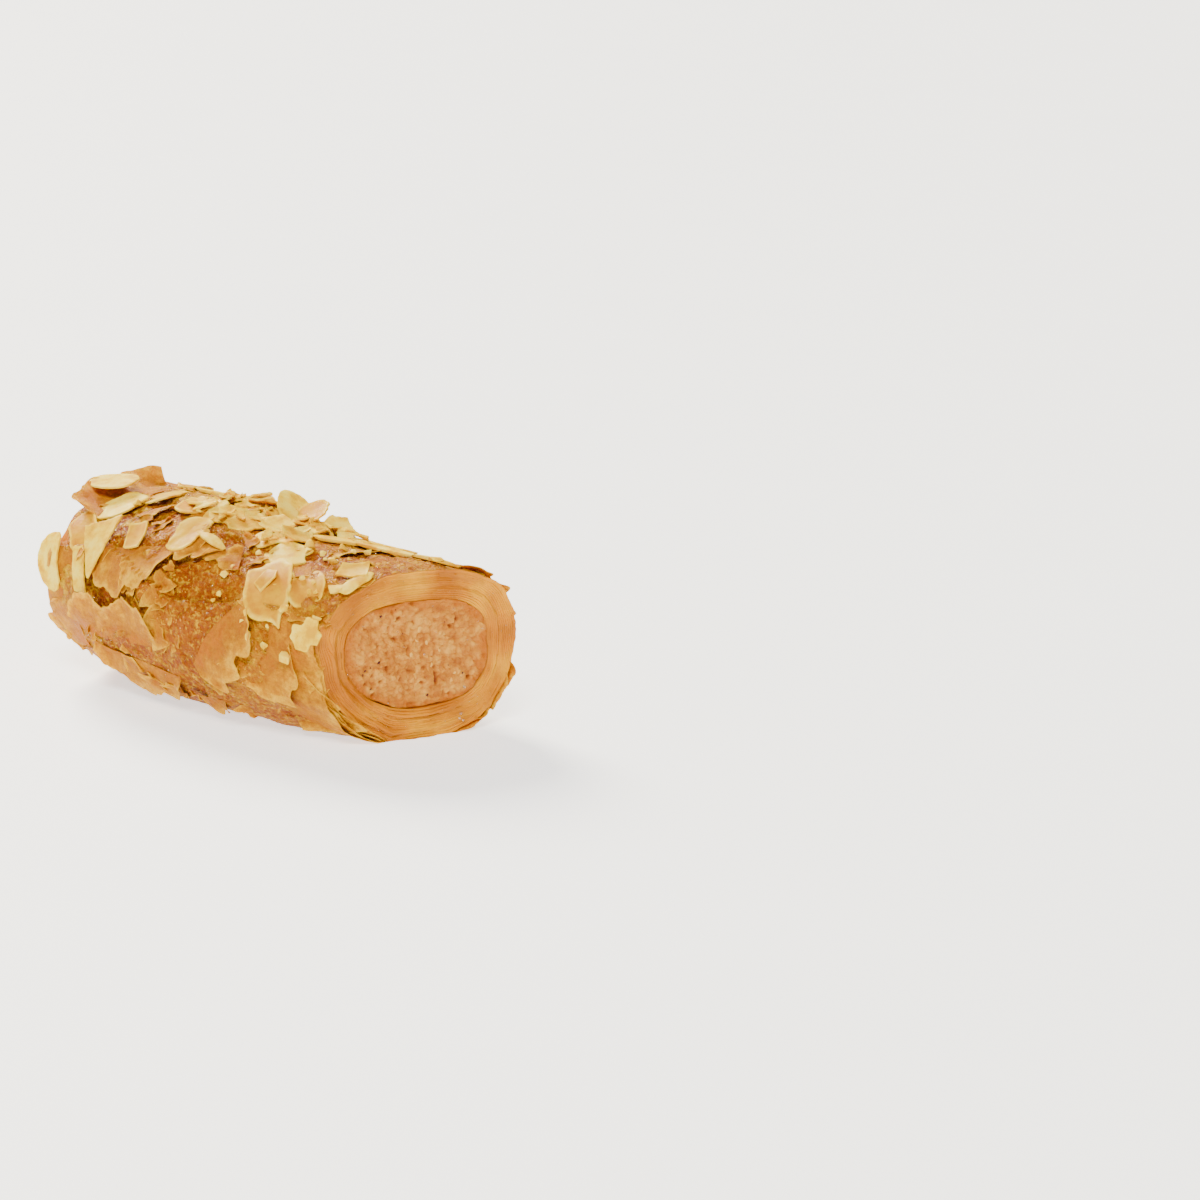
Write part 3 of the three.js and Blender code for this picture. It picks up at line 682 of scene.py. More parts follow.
def scrap_relief(along, around, plain):
    """Height in mm, level and torn border of large scraps with small ones on them, the border plus painted
    light on the far top.
    """
    along_all, around_all = np.broadcast_arrays(along, around)
    high, layer, lip = scraps(along_all, around_all, plain, **LARGE_SCRAP)
    low, small_layer, small_lip = scraps(along_all, around_all, plain, **SMALL_SCRAP)
    height = np.clip(high + low + SCRAP_LEVEL, *SCRAP_LIMITS) + HIGHEST_SCRAP
    height = height * smooth_step((1 - np.abs(along)) / END_FADE)
    layer, lip = 0.6 * layer + 0.4 * small_layer, np.maximum(lip, 0.6 * small_lip)
    # Painted light: the upward-facing top of the far end is made paler, carried with the torn borders
    facing_up = smooth_step((np.cos(np.radians(around - 95)) + 0.15) / 0.7)
    painted_far_top_light = smooth_step((-0.3 - along) / 0.45) * facing_up
    return height, layer, np.clip(lip + 1.6 * painted_far_top_light, 0, 1.6)


def fine_relief(along, around, plain):
    """Blisters and long creases, with a sandy patch of sugar on the front flank, in mm."""
    fine = 0.17 * layered_noise(plain, 1.7, 31, 3) + 0.16 * layered_noise(plain * [0.3, 1, 1], 3.2, 37, 2)
    off_middle = ((along - SANDY["along"]) / SANDY["long"]) ** 2
    sandy = np.exp(-off_middle - ((around - SANDY["around"]) / SANDY["wide"]) ** 2)
    return fine + sandy * (0.16 * lattice_noise(plain, 0.95, 43) + 0.08)


def build_skin():
    along = np.linspace(-1, 1, SKIN_STATIONS)[:, None]
    around = (np.arange(SKIN_SIDES) * 360 / SKIN_SIDES)[None, :]
    plain = relief_point(along, around)
    height, layer, lip = scrap_relief(along, around, plain)
    skin = relief_point(along, around, height + fine_relief(along, around, plain))
    near, far = cut_rows(skin[-1], 1, around[0]), cut_rows(skin[0], -1, around[0])[::-1]
    rows = np.concatenate([skin, near, far])
    bare = np.zeros((2 * CUT_ROWS, SKIN_SIDES))
    shade = np.clip(cut_shade(rows), 0, 1)
    # The edge value holds the pale torn borders and the painted light on the far end's top
    values = {"layer": np.concatenate([layer, bare]), "edge": np.concatenate([lip, bare]), "shade": shade}
    faces = grid_faces(len(rows), SKIN_SIDES, wrap_rows=True, wrap_columns=True)
    piece = face_outward(mesh_piece("filo_skin", rows, faces, values))
    piece.data.materials.append(GLAZED_FILO)
    piece.data.materials.append(CUT_LEAF)
    on_cut_face = np.repeat(np.arange(len(rows)) >= SKIN_STATIONS - 1, SKIN_SIDES)
    piece.data.polygons.foreach_set("material_index", on_cut_face.astype(np.int32))
    return piece


filo_skin = build_skin()
print("skin:", len(filo_skin.data.polygons), "faces")

# %% [markdown]
# ## The rolled leaves at the cuts
#
# One long leaf is rolled from the paste out to the skin, so a cut across the roll shows a spiral. It could
# be carved into the face, but thin leaves stand apart, let light through and throw small shadows. So the
# edge of the leaf is drawn as a spiral line on the cut, and Geometry Nodes push that line back into the
# roll as a ribbon. Solidify then gives the ribbon the thickness of a few sheets stuck together.

# %% A spiral line on each cut
TURNS = 15
STEPS_PER_TURN = 180
RIBBON_DEPTH = 4.5
RIBBON_THICKNESS = 0.62


def spiral_line(end, seed):
    step = np.arange(TURNS * STEPS_PER_TURN + 1)
    around = step * 360 / STEPS_PER_TURN
    turn = step / STEPS_PER_TURN
    share = 1 - (0.15 + turn) / (TURNS + 0.5)
    rim = relief_point(float(end), around % 360)
    core = paste_point(float(end), around % 360)
    angle = np.radians(around)
    ring = np.stack([30 * np.cos(angle), 30 * np.sin(angle), 2.2 * turn], -1)
    drift = layered_noise(ring * [1, 1, 0], 16, seed + 31, 2)
    share = share + 0.11 * np.sin(math.pi * share) * drift + 0.34 / TURNS * layered_noise(ring, 7, seed, 2)
    line = core + (rim - core) * (1 - share)[:, None]
    ragged = 0.34 * lattice_noise(ring * [1, 1, 3], 14, seed + 5) + 0.16 * layered_noise(ring, 3, seed + 9, 3)
    ragged = ragged * (0.3 + 1.1 * splay(around))
    line[:, 0] += end * (ragged - 0.15 + cut_steps(share, around))
    shade = cut_shade(line) + 0.16 * lattice_noise(ring * [1, 1, 2], 9, seed + 13)
    return line, np.clip(shade, 0, 1)


# %% Geometry Nodes: a line becomes a ribbon
def socket_id(tree, name):
    return next(item.identifier for item in tree.interface.items_tree if item.name == name)


def ribbon_tree():
    tree = bpy.data.node_groups.new("line_to_ribbon", "GeometryNodeTree")
    tree.interface.new_socket("Line", in_out="INPUT", socket_type="NodeSocketGeometry")
    tree.interface.new_socket("Depth", in_out="INPUT", socket_type="NodeSocketFloat")
    tree.interface.new_socket("Finish", in_out="INPUT", socket_type="NodeSocketMaterial")
    tree.interface.new_socket("Ribbon", in_out="OUTPUT", socket_type="NodeSocketGeometry")
    given = tree.nodes.new("NodeGroupInput")
    inward = add_node(tree, "GeometryNodeInputNamedAttribute", {"Name": "inward"}, data_type="FLOAT_VECTOR")
    pushed = add_node(
        tree, "GeometryNodeExtrudeMesh",
        {"Mesh": given.outputs["Line"], "Offset": inward.outputs[0], "Offset Scale": given.outputs["Depth"]},
        mode="EDGES",
    )
    whole = add_node(tree, "GeometryNodeRealizeInstances", {"Geometry": pushed.outputs["Mesh"]})
    dressed = add_node(
        tree, "GeometryNodeSetMaterial", {"Geometry": whole.outputs[0], "Material": given.outputs["Finish"]}
    )
    smooth = add_node(tree, "GeometryNodeSetShadeSmooth", {"Geometry": dressed.outputs[0]})
    out = tree.nodes.new("NodeGroupOutput")
    tree.links.new(smooth.outputs[0], out.inputs["Ribbon"])
    return tree


def plain_copy(source, name):
    """The evaluated object as a plain mesh, with the source removed."""
    graph = bpy.context.evaluated_depsgraph_get()
    mesh = bpy.data.meshes.new_from_object(source.evaluated_get(graph), depsgraph=graph)
    old = source.data
    bpy.data.objects.remove(source)
    bpy.data.meshes.remove(old)
    mesh.name = name
    piece = bpy.data.objects.new(name, mesh)
    bpy.context.scene.collection.objects.link(piece)
    return piece


RIBBON = ribbon_tree()


def build_rolled_leaf(name, end, seed):
    line, shade = spiral_line(end, seed)
    wire = mesh_piece(name + "_line", line, [], {"shade": shade})
    wire.data.edges.add(len(line) - 1)
    first = np.arange(len(line) - 1)
    wire.data.edges.foreach_set("vertices", np.stack([first, first + 1], 1).ravel())
    inward = wire.data.attributes.new("inward", "FLOAT_VECTOR", "POINT")
    inward.data.foreach_set("vector", np.tile([-float(end), 0.0, 0.0], len(line)))
    nodes = wire.modifiers.new("ribbon", "NODES")
    nodes.node_group = RIBBON
    nodes[socket_id(RIBBON, "Depth")] = RIBBON_DEPTH * MM
    nodes[socket_id(RIBBON, "Finish")] = CUT_LEAF
    thick = wire.modifiers.new("thickness", "SOLIDIFY")
    thick.thickness = RIBBON_THICKNESS * MM
    thick.offset = 0
    thick.use_even_offset = False
    return plain_copy(wire, name)


near_leaves = build_rolled_leaf("rolled_leaf_near", 1, 3)
far_leaves = build_rolled_leaf("rolled_leaf_far", -1, 21)
print("rolled leaves:", len(near_leaves.data.polygons), "and", len(far_leaves.data.polygons), "faces")

# %% [markdown]
# ## Torn leaves
#
# Sheets of filo that the roll's skin has shed stand off it along one ragged edge. Each is drawn over the
# skin by the same rule that placed its solid: a root line that is held, a reach that runs out at both ends,
# and a lift that grows towards the tear. Cloth simulation would drape it, but baked filo is stiff and
# brittle, so its ripples are worked out instead.

# %% Torn leaves over the skin
LEAF_SINK = 0.4
LEAF_THICKNESS = 0.17
LEAF_TEAR = dict(narrow=0.72, wide=3.4, fine=9.5, depth=0.16, ripples=5.2)
LEAF_RIPPLE = 0.35
LEAF_STAND = 0.34
CRISP_ANGLE = 38
TORN_LEAVES = rows_of("along around long deep turn lift", [
    (-0.4, 193, 36, 9, 176, 1.5), (-0.86, 202, 15, 10, 82, 1), (-0.26, 202, 34, 9, 3, 1.2),
    (0.4, 168, 22, 12, -52, 1.3), (0.72, 178, 16, 9, -38, 1.1), (0.79, 203, 20, 12, -60, 1),
    (-0.84, 100, 20, 11, 82, 3.4), (-0.34, 140, 28, 10, -14, 0.9), (0.04, 116, 13, 8, 12, 1),
    (-0.45, 28, 30, 10, 178, 1.4), (0.42, 10, 28, 10, 190, 1.4), (-0.05, 346, 28, 8, 174, 1.2),
    (0.76, 42, 16, 9, -84, 1),
])


def leaf_place(leaf, side, depth, out):
    turn = math.radians(leaf["turn"])
    run = side * leaf["long"] / 2
    along = leaf["along"] + 2 * (run * math.cos(turn) - depth * math.sin(turn)) / ROLL_LENGTH
    around = leaf["around"] + np.degrees((run * math.sin(turn) + depth * math.cos(turn)) / HALF_HEIGHT)
    return relief_point(along, around, out)


def leaf_reach(leaf, side):
    ends = 1 - LEAF_TEAR["narrow"] * side**4
    wide = np.sin(LEAF_TEAR["wide"] * side + leaf["around"])
    fine = np.sin(LEAF_TEAR["fine"] * side + leaf["long"])
    return leaf["deep"] * ends * (1 + LEAF_TEAR["depth"] * (wide + 0.6 * fine))


def torn_leaf_part(leaf, seed, columns=90, rows=16):
    side = np.linspace(-1, 1, columns)[:, None]
    share = np.linspace(0, 1, rows)[None, :]
    edge_spot = np.concatenate([side * leaf["long"] / 2, 0 * side, 0 * side + seed], -1)
    tear = 1.1 * layered_noise(edge_spot, 5.5, seed, 3) + 0.3 * lattice_noise(edge_spot, 0.9, seed + 3)
    reach = leaf_reach(leaf, side[:, 0])[:, None]
    depth = np.maximum(reach * share + tear[:, None] * np.minimum(1, reach / 6) * share**4, 0)
    rise = np.minimum(depth / reach, 1.15)
    ripple = LEAF_RIPPLE * np.sin(LEAF_TEAR["ripples"] * side + leaf["around"])
    raise_by = -LEAF_SINK + (leaf["lift"] + ripple + LEAF_SINK) * rise**1.6
    flat = np.stack([side * leaf["long"] / 2 + 0 * share, depth, 0 * depth + 9 * seed], -1)
    folds = np.abs(lattice_noise(flat, 3.1, seed + 8))
    crumple = 0.5 * layered_noise(flat, 6, seed + 7, 3) + 0.3 * folds - 0.1
    raise_by = raise_by + rise * crumple + LEAF_STAND
    points = leaf_place(leaf, side, depth, raise_by)
    ends = np.abs(side) ** 6
    dry = np.clip(0.22 + 0.4 * rise + 0.38 * share**6 + ends * 0.2, 0, 1)
    return points, grid_faces(columns, rows), {"dry": dry + 0 * depth}


def crisp(piece):
    """Smooth shading, but with a hard edge wherever two faces meet at more than the crisp angle."""
    piece.data.set_sharp_from_angle(angle=math.radians(CRISP_ANGLE))
    return piece


def thicken(piece, thickness, name):
    solid = piece.modifiers.new("thickness", "SOLIDIFY")
    solid.thickness = thickness * MM
    solid.offset = 0
    return crisp(plain_copy(piece, name))


# %% Leaves that have come away at the cuts
SPLAY_ROOT = 0.74
SPLAY_REACH = 1.006
SPLAYED = [
    (168, 262, 0.4, 301), (178, 258, 1.0, 302), (186, 252, 1.7, 303), (192, 246, 2.4, 310),
    (148, 205, 0.5, 304), (225, 300, 0.5, 311), (285, 345, 0.6, 305), (310, 352, 1.1, 312),
    (40, 120, 0.3, 306, -1), (150, 230, 0.5, 307, -1), (210, 262, 0.8, 308, -1), (300, 350, 0.4, 309, -1),
]


def splayed_part(start, stop, flare, seed, end=1, columns=120, rows=12):
    """The border of an outer leaf that has come away from the roll at the cut, from start to stop degrees."""
    around = np.linspace(start, stop, columns)[:, None]
    share = np.linspace(0, 1, rows)[None, :]
    side = np.linspace(-1, 1, columns)[:, None]
    edge_spot = np.concatenate([0.38 * around, 0 * around, 0 * around + seed], -1)
    tear = (layered_noise(edge_spot, 6, seed, 3) + 0.35 * lattice_noise(edge_spot, 0.9, seed + 2))[:, None]
    reach = SPLAY_ROOT + (SPLAY_REACH - SPLAY_ROOT + 0.014 * tear) * share
    wave = 0.3 * layered_noise(edge_spot * [1, 1, 5], 7, seed + 4, 2)[:, None]
    out = 0.1 - 0.5 * side**8 + (flare * (1 - side**6) + wave) * share**1.6
    dry = 0.25 + 0.5 * share**2 + 0 * side
    return relief_point(end * reach, around, out), grid_faces(columns, rows), {"dry": dry}


leaf_parts = [torn_leaf_part(leaf, 50 + 3 * place) for place, leaf in enumerate(TORN_LEAVES)]
leaf_parts += [splayed_part(*row) for row in SPLAYED]
torn_leaves = thicken(join_parts("torn_leaves", leaf_parts), LEAF_THICKNESS, "torn_leaves")
torn_leaves.data.materials.append(TORN_LEAF)
print("torn leaves:", len(leaf_parts), "sheets,", len(torn_leaves.data.polygons), "faces")

# %% [markdown]
# ## The paste
#
# Ground almonds, sugar and a little fat, packed tight and cut with a knife. The cut drags grains out, so
# the face is rough in three sizes at once: slow hollows, grains of nut, and a fine sandy surface. The rim
# soaks up syrup from the leaves and turns orange.

# %% Paste with crumbly cut faces
PASTE_SIDES = 380
PASTE_RINGS = 78


def ground_grains(points, size, seed):
    """Height (about -1 to 1) and tone (0 to 1) of nut grains packed in the plane of the cut."""
    warp = np.stack([lattice_noise(points, 0.6 * size, seed + k) for k in (1, 2)], -1)
    flat = np.asarray(points)[..., 1:] + 0.4 * size * warp
    cell = np.floor(flat / size).astype(np.int64)
    first = np.full(flat.shape[:-1], 9.0)
    second, tone = first.copy(), 0 * first
    for step in np.ndindex(3, 3):
        near = cell + np.array(step) - 1
        key = scramble((near @ CELL_PRIMES[:2] + SEED_PRIME * seed) & WORD)
        jitter = np.stack([key & 1023, (key >> 10) & 1023], -1) / 1023
        away = np.linalg.norm(near + 0.1 + 0.8 * jitter - flat / size, axis=-1)
        closer = away < first
        second = np.where(closer, first, np.minimum(second, away))
        tone = np.where(closer, ((key >> 20) & 1023) / 1023, tone)
        first = np.minimum(first, away)
    dome = 1 - np.exp(-(((second - first) / 0.33) ** 2)) - 0.6 * first**2
    return dome * (0.4 + 1.1 * tone) - 0.5, tone


def crumb_relief(points):
    """How far the torn cut stands out in mm, how raised each place is and its grain's own tone (0 to 1)."""
    slow = 0.35 * layered_noise(points, 6, 71, 2)
    coarse, coarse_tone = ground_grains(points, 2.1, 73)
    small, small_tone = ground_grains(points, 1.1, 79)
    pits = 1.2 * np.minimum(0, lattice_noise(points, 1.5, 83) + 0.48)
    sand = 0.15 * lattice_noise(points, 1.1, 61) + 0.12 * lattice_noise(points, 0.55, 89)
    fine = 0.13 * coarse + 0.16 * small + pits + sand
    return slow + fine - 0.1, np.clip(0.5 + 0.9 * fine, 0, 1), 0.5 * coarse_tone + 0.5 * small_tone


def crumbled_cap(end):
    around = (np.arange(PASTE_SIDES) * 360 / PASTE_SIDES)[None, :]
    share = np.linspace(0, 1, PASTE_RINGS + 1)[1:, None]
    plain_rim = paste_point(float(end), around, LEAF_GAP)
    rim = paste_point(float(end), around, LEAF_GAP + 0.4 * layered_noise(plain_rim, 4, 53, 3))
    centre = (paste_point(float(end), np.array(0.0)) + paste_point(float(end), np.array(180.0))) / 2
    points = centre + (rim - centre) * share[..., None]
    relief, height, tone = crumb_relief(points)
    wet = share + 0.08 * layered_noise(points, 2.5, 99, 2)
    points[..., 0] += end * np.where(share < 1, relief, 0.0)
    return points, np.clip(smooth_step((wet - 0.84) / 0.14) * 0.8, 0, 1), height, tone


def build_paste():
    far, *far_values = crumbled_cap(-1)
    near, *near_values = crumbled_cap(1)
    around = np.arange(PASTE_SIDES) * 360 / PASTE_SIDES
    middle = np.stack([paste_point(along, around, LEAF_GAP) for along in np.linspace(-0.97, 0.97, 7)])
    points, faces = capped_tube(np.concatenate([far, middle, near[::-1]]))
    plain = np.full(middle.shape[:2], 0.7)
    values = {}
    for key, at_far, at_near in zip(("soaked", "height", "tone"), far_values, near_values):
        values[key] = np.append(np.concatenate([at_far, plain, at_near[::-1]]), [0.6, 0.6])
    return face_outward(mesh_piece("almond_paste", points, faces, values))


almond_paste = build_paste()
almond_paste.data.materials.append(PASTE)
print("paste:", len(almond_paste.data.polygons), "faces")

# %% [markdown]
# ## Flaked almonds
#
# A flaked almond is a slice about half a millimetre thick, pointed at one end, that bends a little as it
# bakes. The ones that stand out in the picture are placed one by one, from the same rows as their solids,
# and the rest by the same seeded draws, so that each lies on its own solid.

# %% The same seeded draws as the solids
def draws(seed):
    state = seed
    while True:
        state = (state + 0x6D2B79F5) & WORD
        mixed = ((state ^ (state >> 15)) * (state | 1)) & WORD
        mixed ^= (mixed + (((mixed ^ (mixed >> 7)) * (mixed | 61)) & WORD)) & WORD
        yield (mixed ^ (mixed >> 14)) / 2**32


# %% Rows of almonds
FLAKES = rows_of("along around long wide turn pitch roll lift point", [
    (0.6, 135, 16.5, 11.5, -58, 0, 0, 0.67, 0.6), (0.77, 127, 11, 8.5, 118, 0, 4, 0.27, 0.1),
    (0.25, 95, 14, 11, 62, 4, -6, 0.67, 0.2), (-0.02, 97, 15, 9.5, 22, -4, 8, 0.62, 0.2),
    (-0.12, 76, 12, 9, -20, 20, -8, 1.7, 0.3), (0.1, 66, 11, 9, 70, 52, 0, 3.2, 0.2),
    (-0.03, 70, 13, 9.5, 150, 30, 6, 2.3, 0.3), (0.2, 62, 9, 7, 105, 48, 12, 2.4, 0.4),
    (-0.27, 74, 11, 8.5, 40, 20, -6, 1.4, 0.3), (-0.985, 166, 13.5, 9.5, 118, 0, 0, 0.37, 0.2),
    (-0.7, 163, 12, 5, 122, 0, 6, 0.47, 0.3), (-0.58, 147, 14, 9.5, -62, 0, 0, 0.47, 0.9),
    (-0.37, 133, 7.5, 5.5, 110, 4, 0, 0.42, 0.3), (-0.94, 101, 14, 10, 8, 0, 0, 3.4, 0.3),
    (-0.76, 112, 13, 10, 35, 3, 4, 0.57, 0.2), (-0.84, 138, 12, 9, 120, 0, 3, 0.42, 0.3),
    (0.93, 159, 8.5, 7.5, 60, 4, 0, 0.52, 0.1), (0.5, 70, 13, 8, 10, 0, -4, 0.52, 0.2),
    (0.36, 112, 9, 7.5, 15, 3, 5, 0.47, 0.4), (0.87, 108, 7, 5.2, 20, 0, 4, 0.47, 0.2),
    (-0.32, 98, 11, 9, 130, 3, 4, 0.52, 0.4),
], kind="flake")
STICKS = rows_of("along around long wide turn lift", [
    (0.66, 78, 15, 2.8, 4, 0.55), (0.56, 62, 13, 2.6, -14, 0.55), (0.8, 64, 12, 2.4, 10, 0.55),
    (0.42, 82, 11, 2.8, 24, 0.55), (0.955, 116, 8, 3.4, 72, 0.55), (-0.5, 72, 12, 2.8, 30, 0.55),
    (0.04, 40, 13, 2.8, -30, 0.55),
], kind="stick")
NIBS = rows_of("along around size", [
    (0.58, 90, 3.6), (0.44, 96, 4.6), (0.5, 100, 3.2), (0.92, 124, 4.8), (0.95, 146, 3.4),
    (0.8, 146, 3), (0.64, 168, 3.8), (0.72, 171, 3), (0.84, 175, 4), (0.7, 104, 3.4),
], kind="nib")
SCATTER = rows_of("kind count long wide spacing", [
    ("flake", 17, (9, 14), (0.62, 0.8), 9), ("stick", 5, (8, 12), (0.2, 0.26), 6),
    ("nib", 9, (2.6, 4.6), (1, 1), 5),
])
SCATTER_SEED = 4127
SCATTER_CENTRE = 66
SCATTER_SPREAD = 74
SCATTER_END = 0.93
TRIES = 40
BARE_FRONT = dict(start=-0.72, end=0.5, around=122)
LOWEST_ALMOND = 9
print("placed one by one:", len(FLAKES), "flakes,", len(STICKS), "sticks and", len(NIBS), "nibs")


# %% Almonds scattered over the places left free, largest first
def between(limits, share):
    return limits[0] + (limits[1] - limits[0]) * share


def is_bare_front(along, around):
    return BARE_FRONT["start"] < along < BARE_FRONT["end"] and around > BARE_FRONT["around"]


def scattered_almonds():
    random = draws(SCATTER_SEED)
    taken = [skin_point(row["along"], row["around"]) for row in FLAKES + STICKS + NIBS]
    spots = []
    for group in SCATTER:
        made = attempt = 0
        while made < group["count"] and attempt < group["count"] * TRIES:
            attempt += 1
            along = between((-SCATTER_END, SCATTER_END), next(random))
            around = SCATTER_CENTRE + SCATTER_SPREAD * (next(random) + next(random) - 1)
            long = between(group["long"], next(random))
            wide = long * between(group["wide"], next(random))
            turn = 360 * next(random)
            pitch, roll = between((-3, 5), next(random)), between((-4, 4), next(random))
            place = skin_point(along, around)
            crowded = any(np.linalg.norm(other - place) < group["spacing"] for other in taken)
            if crowded or is_bare_front(along, around) or place[2] < LOWEST_ALMOND:
                continue
            taken.append(place)
            shape = dict(long=long, wide=wide, size=long, point=next(random))
            pose = dict(along=along, around=around, turn=turn, pitch=pitch, roll=roll, lift=0.5)
            spots.append(dict(kind=group["kind"], **shape, **pose))
            made += 1
    return spots


ALMONDS = FLAKES + STICKS + NIBS + scattered_almonds()
print("almonds:", {kind: sum(a["kind"] == kind for a in ALMONDS) for kind in ("flake", "stick", "nib")})


# %% Lay a shape on the skin
FLAKE_FOLLOW = 0.8
SETTLE = 0.3


def unit(vector):
    return vector / np.linalg.norm(vector)


def spin(axis, degrees):
    return np.array(Matrix.Rotation(math.radians(degrees), 3, axis))


def lay_on_skin(points, spot):
    """Moves points from a shape's own millimetres to its place on the skin, bent to the roll's curve."""
    along, around = spot["along"], spot["around"]
    lengthwise = unit(skin_point(along + 0.01, around) - skin_point(along - 0.01, around))
    outward = unit(np.cross(lengthwise, skin_point(along, around - 1) - skin_point(along, around + 1)))
    axes = np.stack([lengthwise, np.cross(outward, lengthwise), outward], 1)
    turn = math.radians(spot.get("turn", 0))
    bent = np.array(points, float)
    if spot["kind"] != "nib":
        across = bent[..., 0] * math.sin(turn) + bent[..., 1] * math.cos(turn)
        bent[..., 2] -= FLAKE_FOLLOW * across**2 / (2 * HALF_HEIGHT)
    bent[..., 2] += spot["lift"] + SETTLE
    tilt = spin("Z", spot.get("turn", 0)) @ spin("Y", -spot.get("pitch", 0)) @ spin("X", spot.get("roll", 0))
    return relief_point(along, around) + bent @ (axes @ tilt).T


# %% Outlines of broken flakes, from -1 to 1 along and across
FLAKE_SIDES = 60
FLAKE_NARROWING = 0.45
FLAKE_SHAPES = dict(
    boxy=[(-0.78, -0.86), (0.12, -1), (0.59, -0.8), (0.72, -0.25), (0.78, 0.05), (1.04, 0.27), (0.8, 0.41),
          (0.41, 0.9), (-0.1, 1), (-0.55, 0.98), (-1, 0.44), (-0.95, 0.04), (-0.8, -0.4)],
    wedge=[(-0.93, -0.7), (-1, 0.9), (-0.1, 0.5), (0.6, 0.0), (1.05, -0.45), (0.4, -0.55), (-0.4, -0.65)],
    sliver=[(-1, -0.7), (-0.72, 0.9), (0.1, 0.75), (1, 0.4), (0.95, -0.6), (0.3, -0.8)],
    angular=[(-1, -0.2), (-0.6, -0.9), (0.2, -0.75), (0.55, -1), (1, -0.5), (0.7, 0.1), (0.95, 0.6),
             (0.3, 0.85), (-0.5, 1), (-0.85, 0.5)],
    crumpled=[(-1, 0.1), (-0.7, -0.6), (-0.2, -0.5), (0, -0.95), (0.6, -0.8), (0.65, -0.35), (1, -0.1),
              (0.75, 0.6), (0.2, 0.55), (0, 1), (-0.65, 0.75)],
    kite=[(-1, -0.35), (-0.75, 0.75), (-0.1, 1), (1, -0.2), (0.45, -0.9)],
    chip=[(-1, -0.8), (-0.9, 0.85), (0.85, 1), (1, -0.7), (0.1, -1)],
)


def shaped_outline(spot):
    """Even steps round a named shape, with its corners a little softened."""
    corners = np.array(FLAKE_SHAPES[spot["shape"]]) * [spot["long"] / 2, spot["wide"] / 2]
    closed = np.vstack([corners, corners[:1]])
    walked = np.concatenate([[0], np.cumsum(np.linalg.norm(np.diff(closed, axis=0), axis=1))])
    steps = np.linspace(0, walked[-1], FLAKE_SIDES, endpoint=False)
    outline = np.stack([np.interp(steps, walked, closed[:, k]) for k in (0, 1)], -1)
    softened = 0.8 * outline + 0.1 * (np.roll(outline, 1, 0) + np.roll(outline, -1, 0))
    rough = np.concatenate([softened, np.full((FLAKE_SIDES, 1), 3.0 * spot["around"])], 1)
    return softened * (1 + 0.05 * lattice_noise(rough, 0.9, 17))[:, None]


def flake_outline(spot, rng):
    if "shape" in spot:
        return shaped_outline(spot)
    angle = np.arange(FLAKE_SIDES) * 2 * math.pi / FLAKE_SIDES
    ring = 5 * np.stack([np.cos(angle), np.sin(angle), 0 * angle + 30 * rng.random()], -1)
    wobble = 1 + 0.05 * lattice_noise(ring, 4.2, 3) + 0.035 * lattice_noise(ring, 0.9, 4)
    narrowing = 1 - spot["point"] * FLAKE_NARROWING * np.maximum(0, np.cos(angle))
    x = spot["long"] / 2 * signed_power(np.cos(angle), 0.9) * wobble
    y = spot["wide"] / 2 * signed_power(np.sin(angle), 0.85) * wobble * narrowing
    outline = np.stack([x, y], -1)
    for _ in range(spot.get("breaks", rng.integers(2, 6))):
        facing = rng.random() * 2 * math.pi
        away = np.array([math.cos(facing), math.sin(facing)])
        reach = outline @ away
        snapped = reach.max() * (0.55 + 0.4 * rng.random())
        rough = 0.25 * lattice_noise(np.concatenate([outline, 0 * outline[:, :1]], 1), 0.9, 8)
        outline -= np.maximum(0, reach - snapped - rough)[:, None] * away
    return outline


# %% One flaked almond
FLAKE_THICKNESS = 0.5
FLAKE_PROFILE = [(0.22, 0.5), (0.45, 0.5), (0.66, 0.49), (0.8, 0.48), (0.91, 0.5), (0.985, 0.48), (1.0, 0.36),
                 (1.0, -0.36), (0.985, -0.48), (0.8, -0.48), (0.4, -0.5)]


def flake_part(spot, rng):
    """A thin slice from rings at each (share of the outline, share of the thickness), curled and toasted."""
    outline = flake_outline(spot, rng)
    curl, twist, cup = rng.normal(0, 0.5), rng.normal(0, 0.35), 0.35 + 0.4 * rng.random()
    toast = spot.get("toast", rng.random() ** 2.2)
    seed = int(rng.integers(1, 900))
    rings, rims = [], []
    for share, height in FLAKE_PROFILE:
        spots = outline * share
        x, y = 2 * spots[:, 0] / spot["long"], 2 * spots[:, 1] / spot["wide"]
        bend = curl * x * x + twist * x * y + cup * y * y - 0.3
        grainy = 0.09 * layered_noise(np.stack([spots[:, 0] * 0.5, spots[:, 1], 0 * x], -1), 1.3, seed, 2)
        rings.append(np.stack([spots[:, 0], spots[:, 1], FLAKE_THICKNESS * height + bend + grainy], -1))
        rims.append(np.full(FLAKE_SIDES, smooth_step((share - 0.82) / 0.12)))
    points, faces = capped_tube(np.stack(rings))
    values = {"rim": np.append(np.ravel(rims), [0, 0]), "toast": np.full(len(points), toast)}
    return lay_on_skin(points, spot), faces, values


# %% One stick and one nib
STICK_STATIONS = 16
STICK_SIDES = 12
STICK_HALF_THICKNESS = 0.48
LUMP_CORNERS = 10
LUMP_BEVEL = 0.025


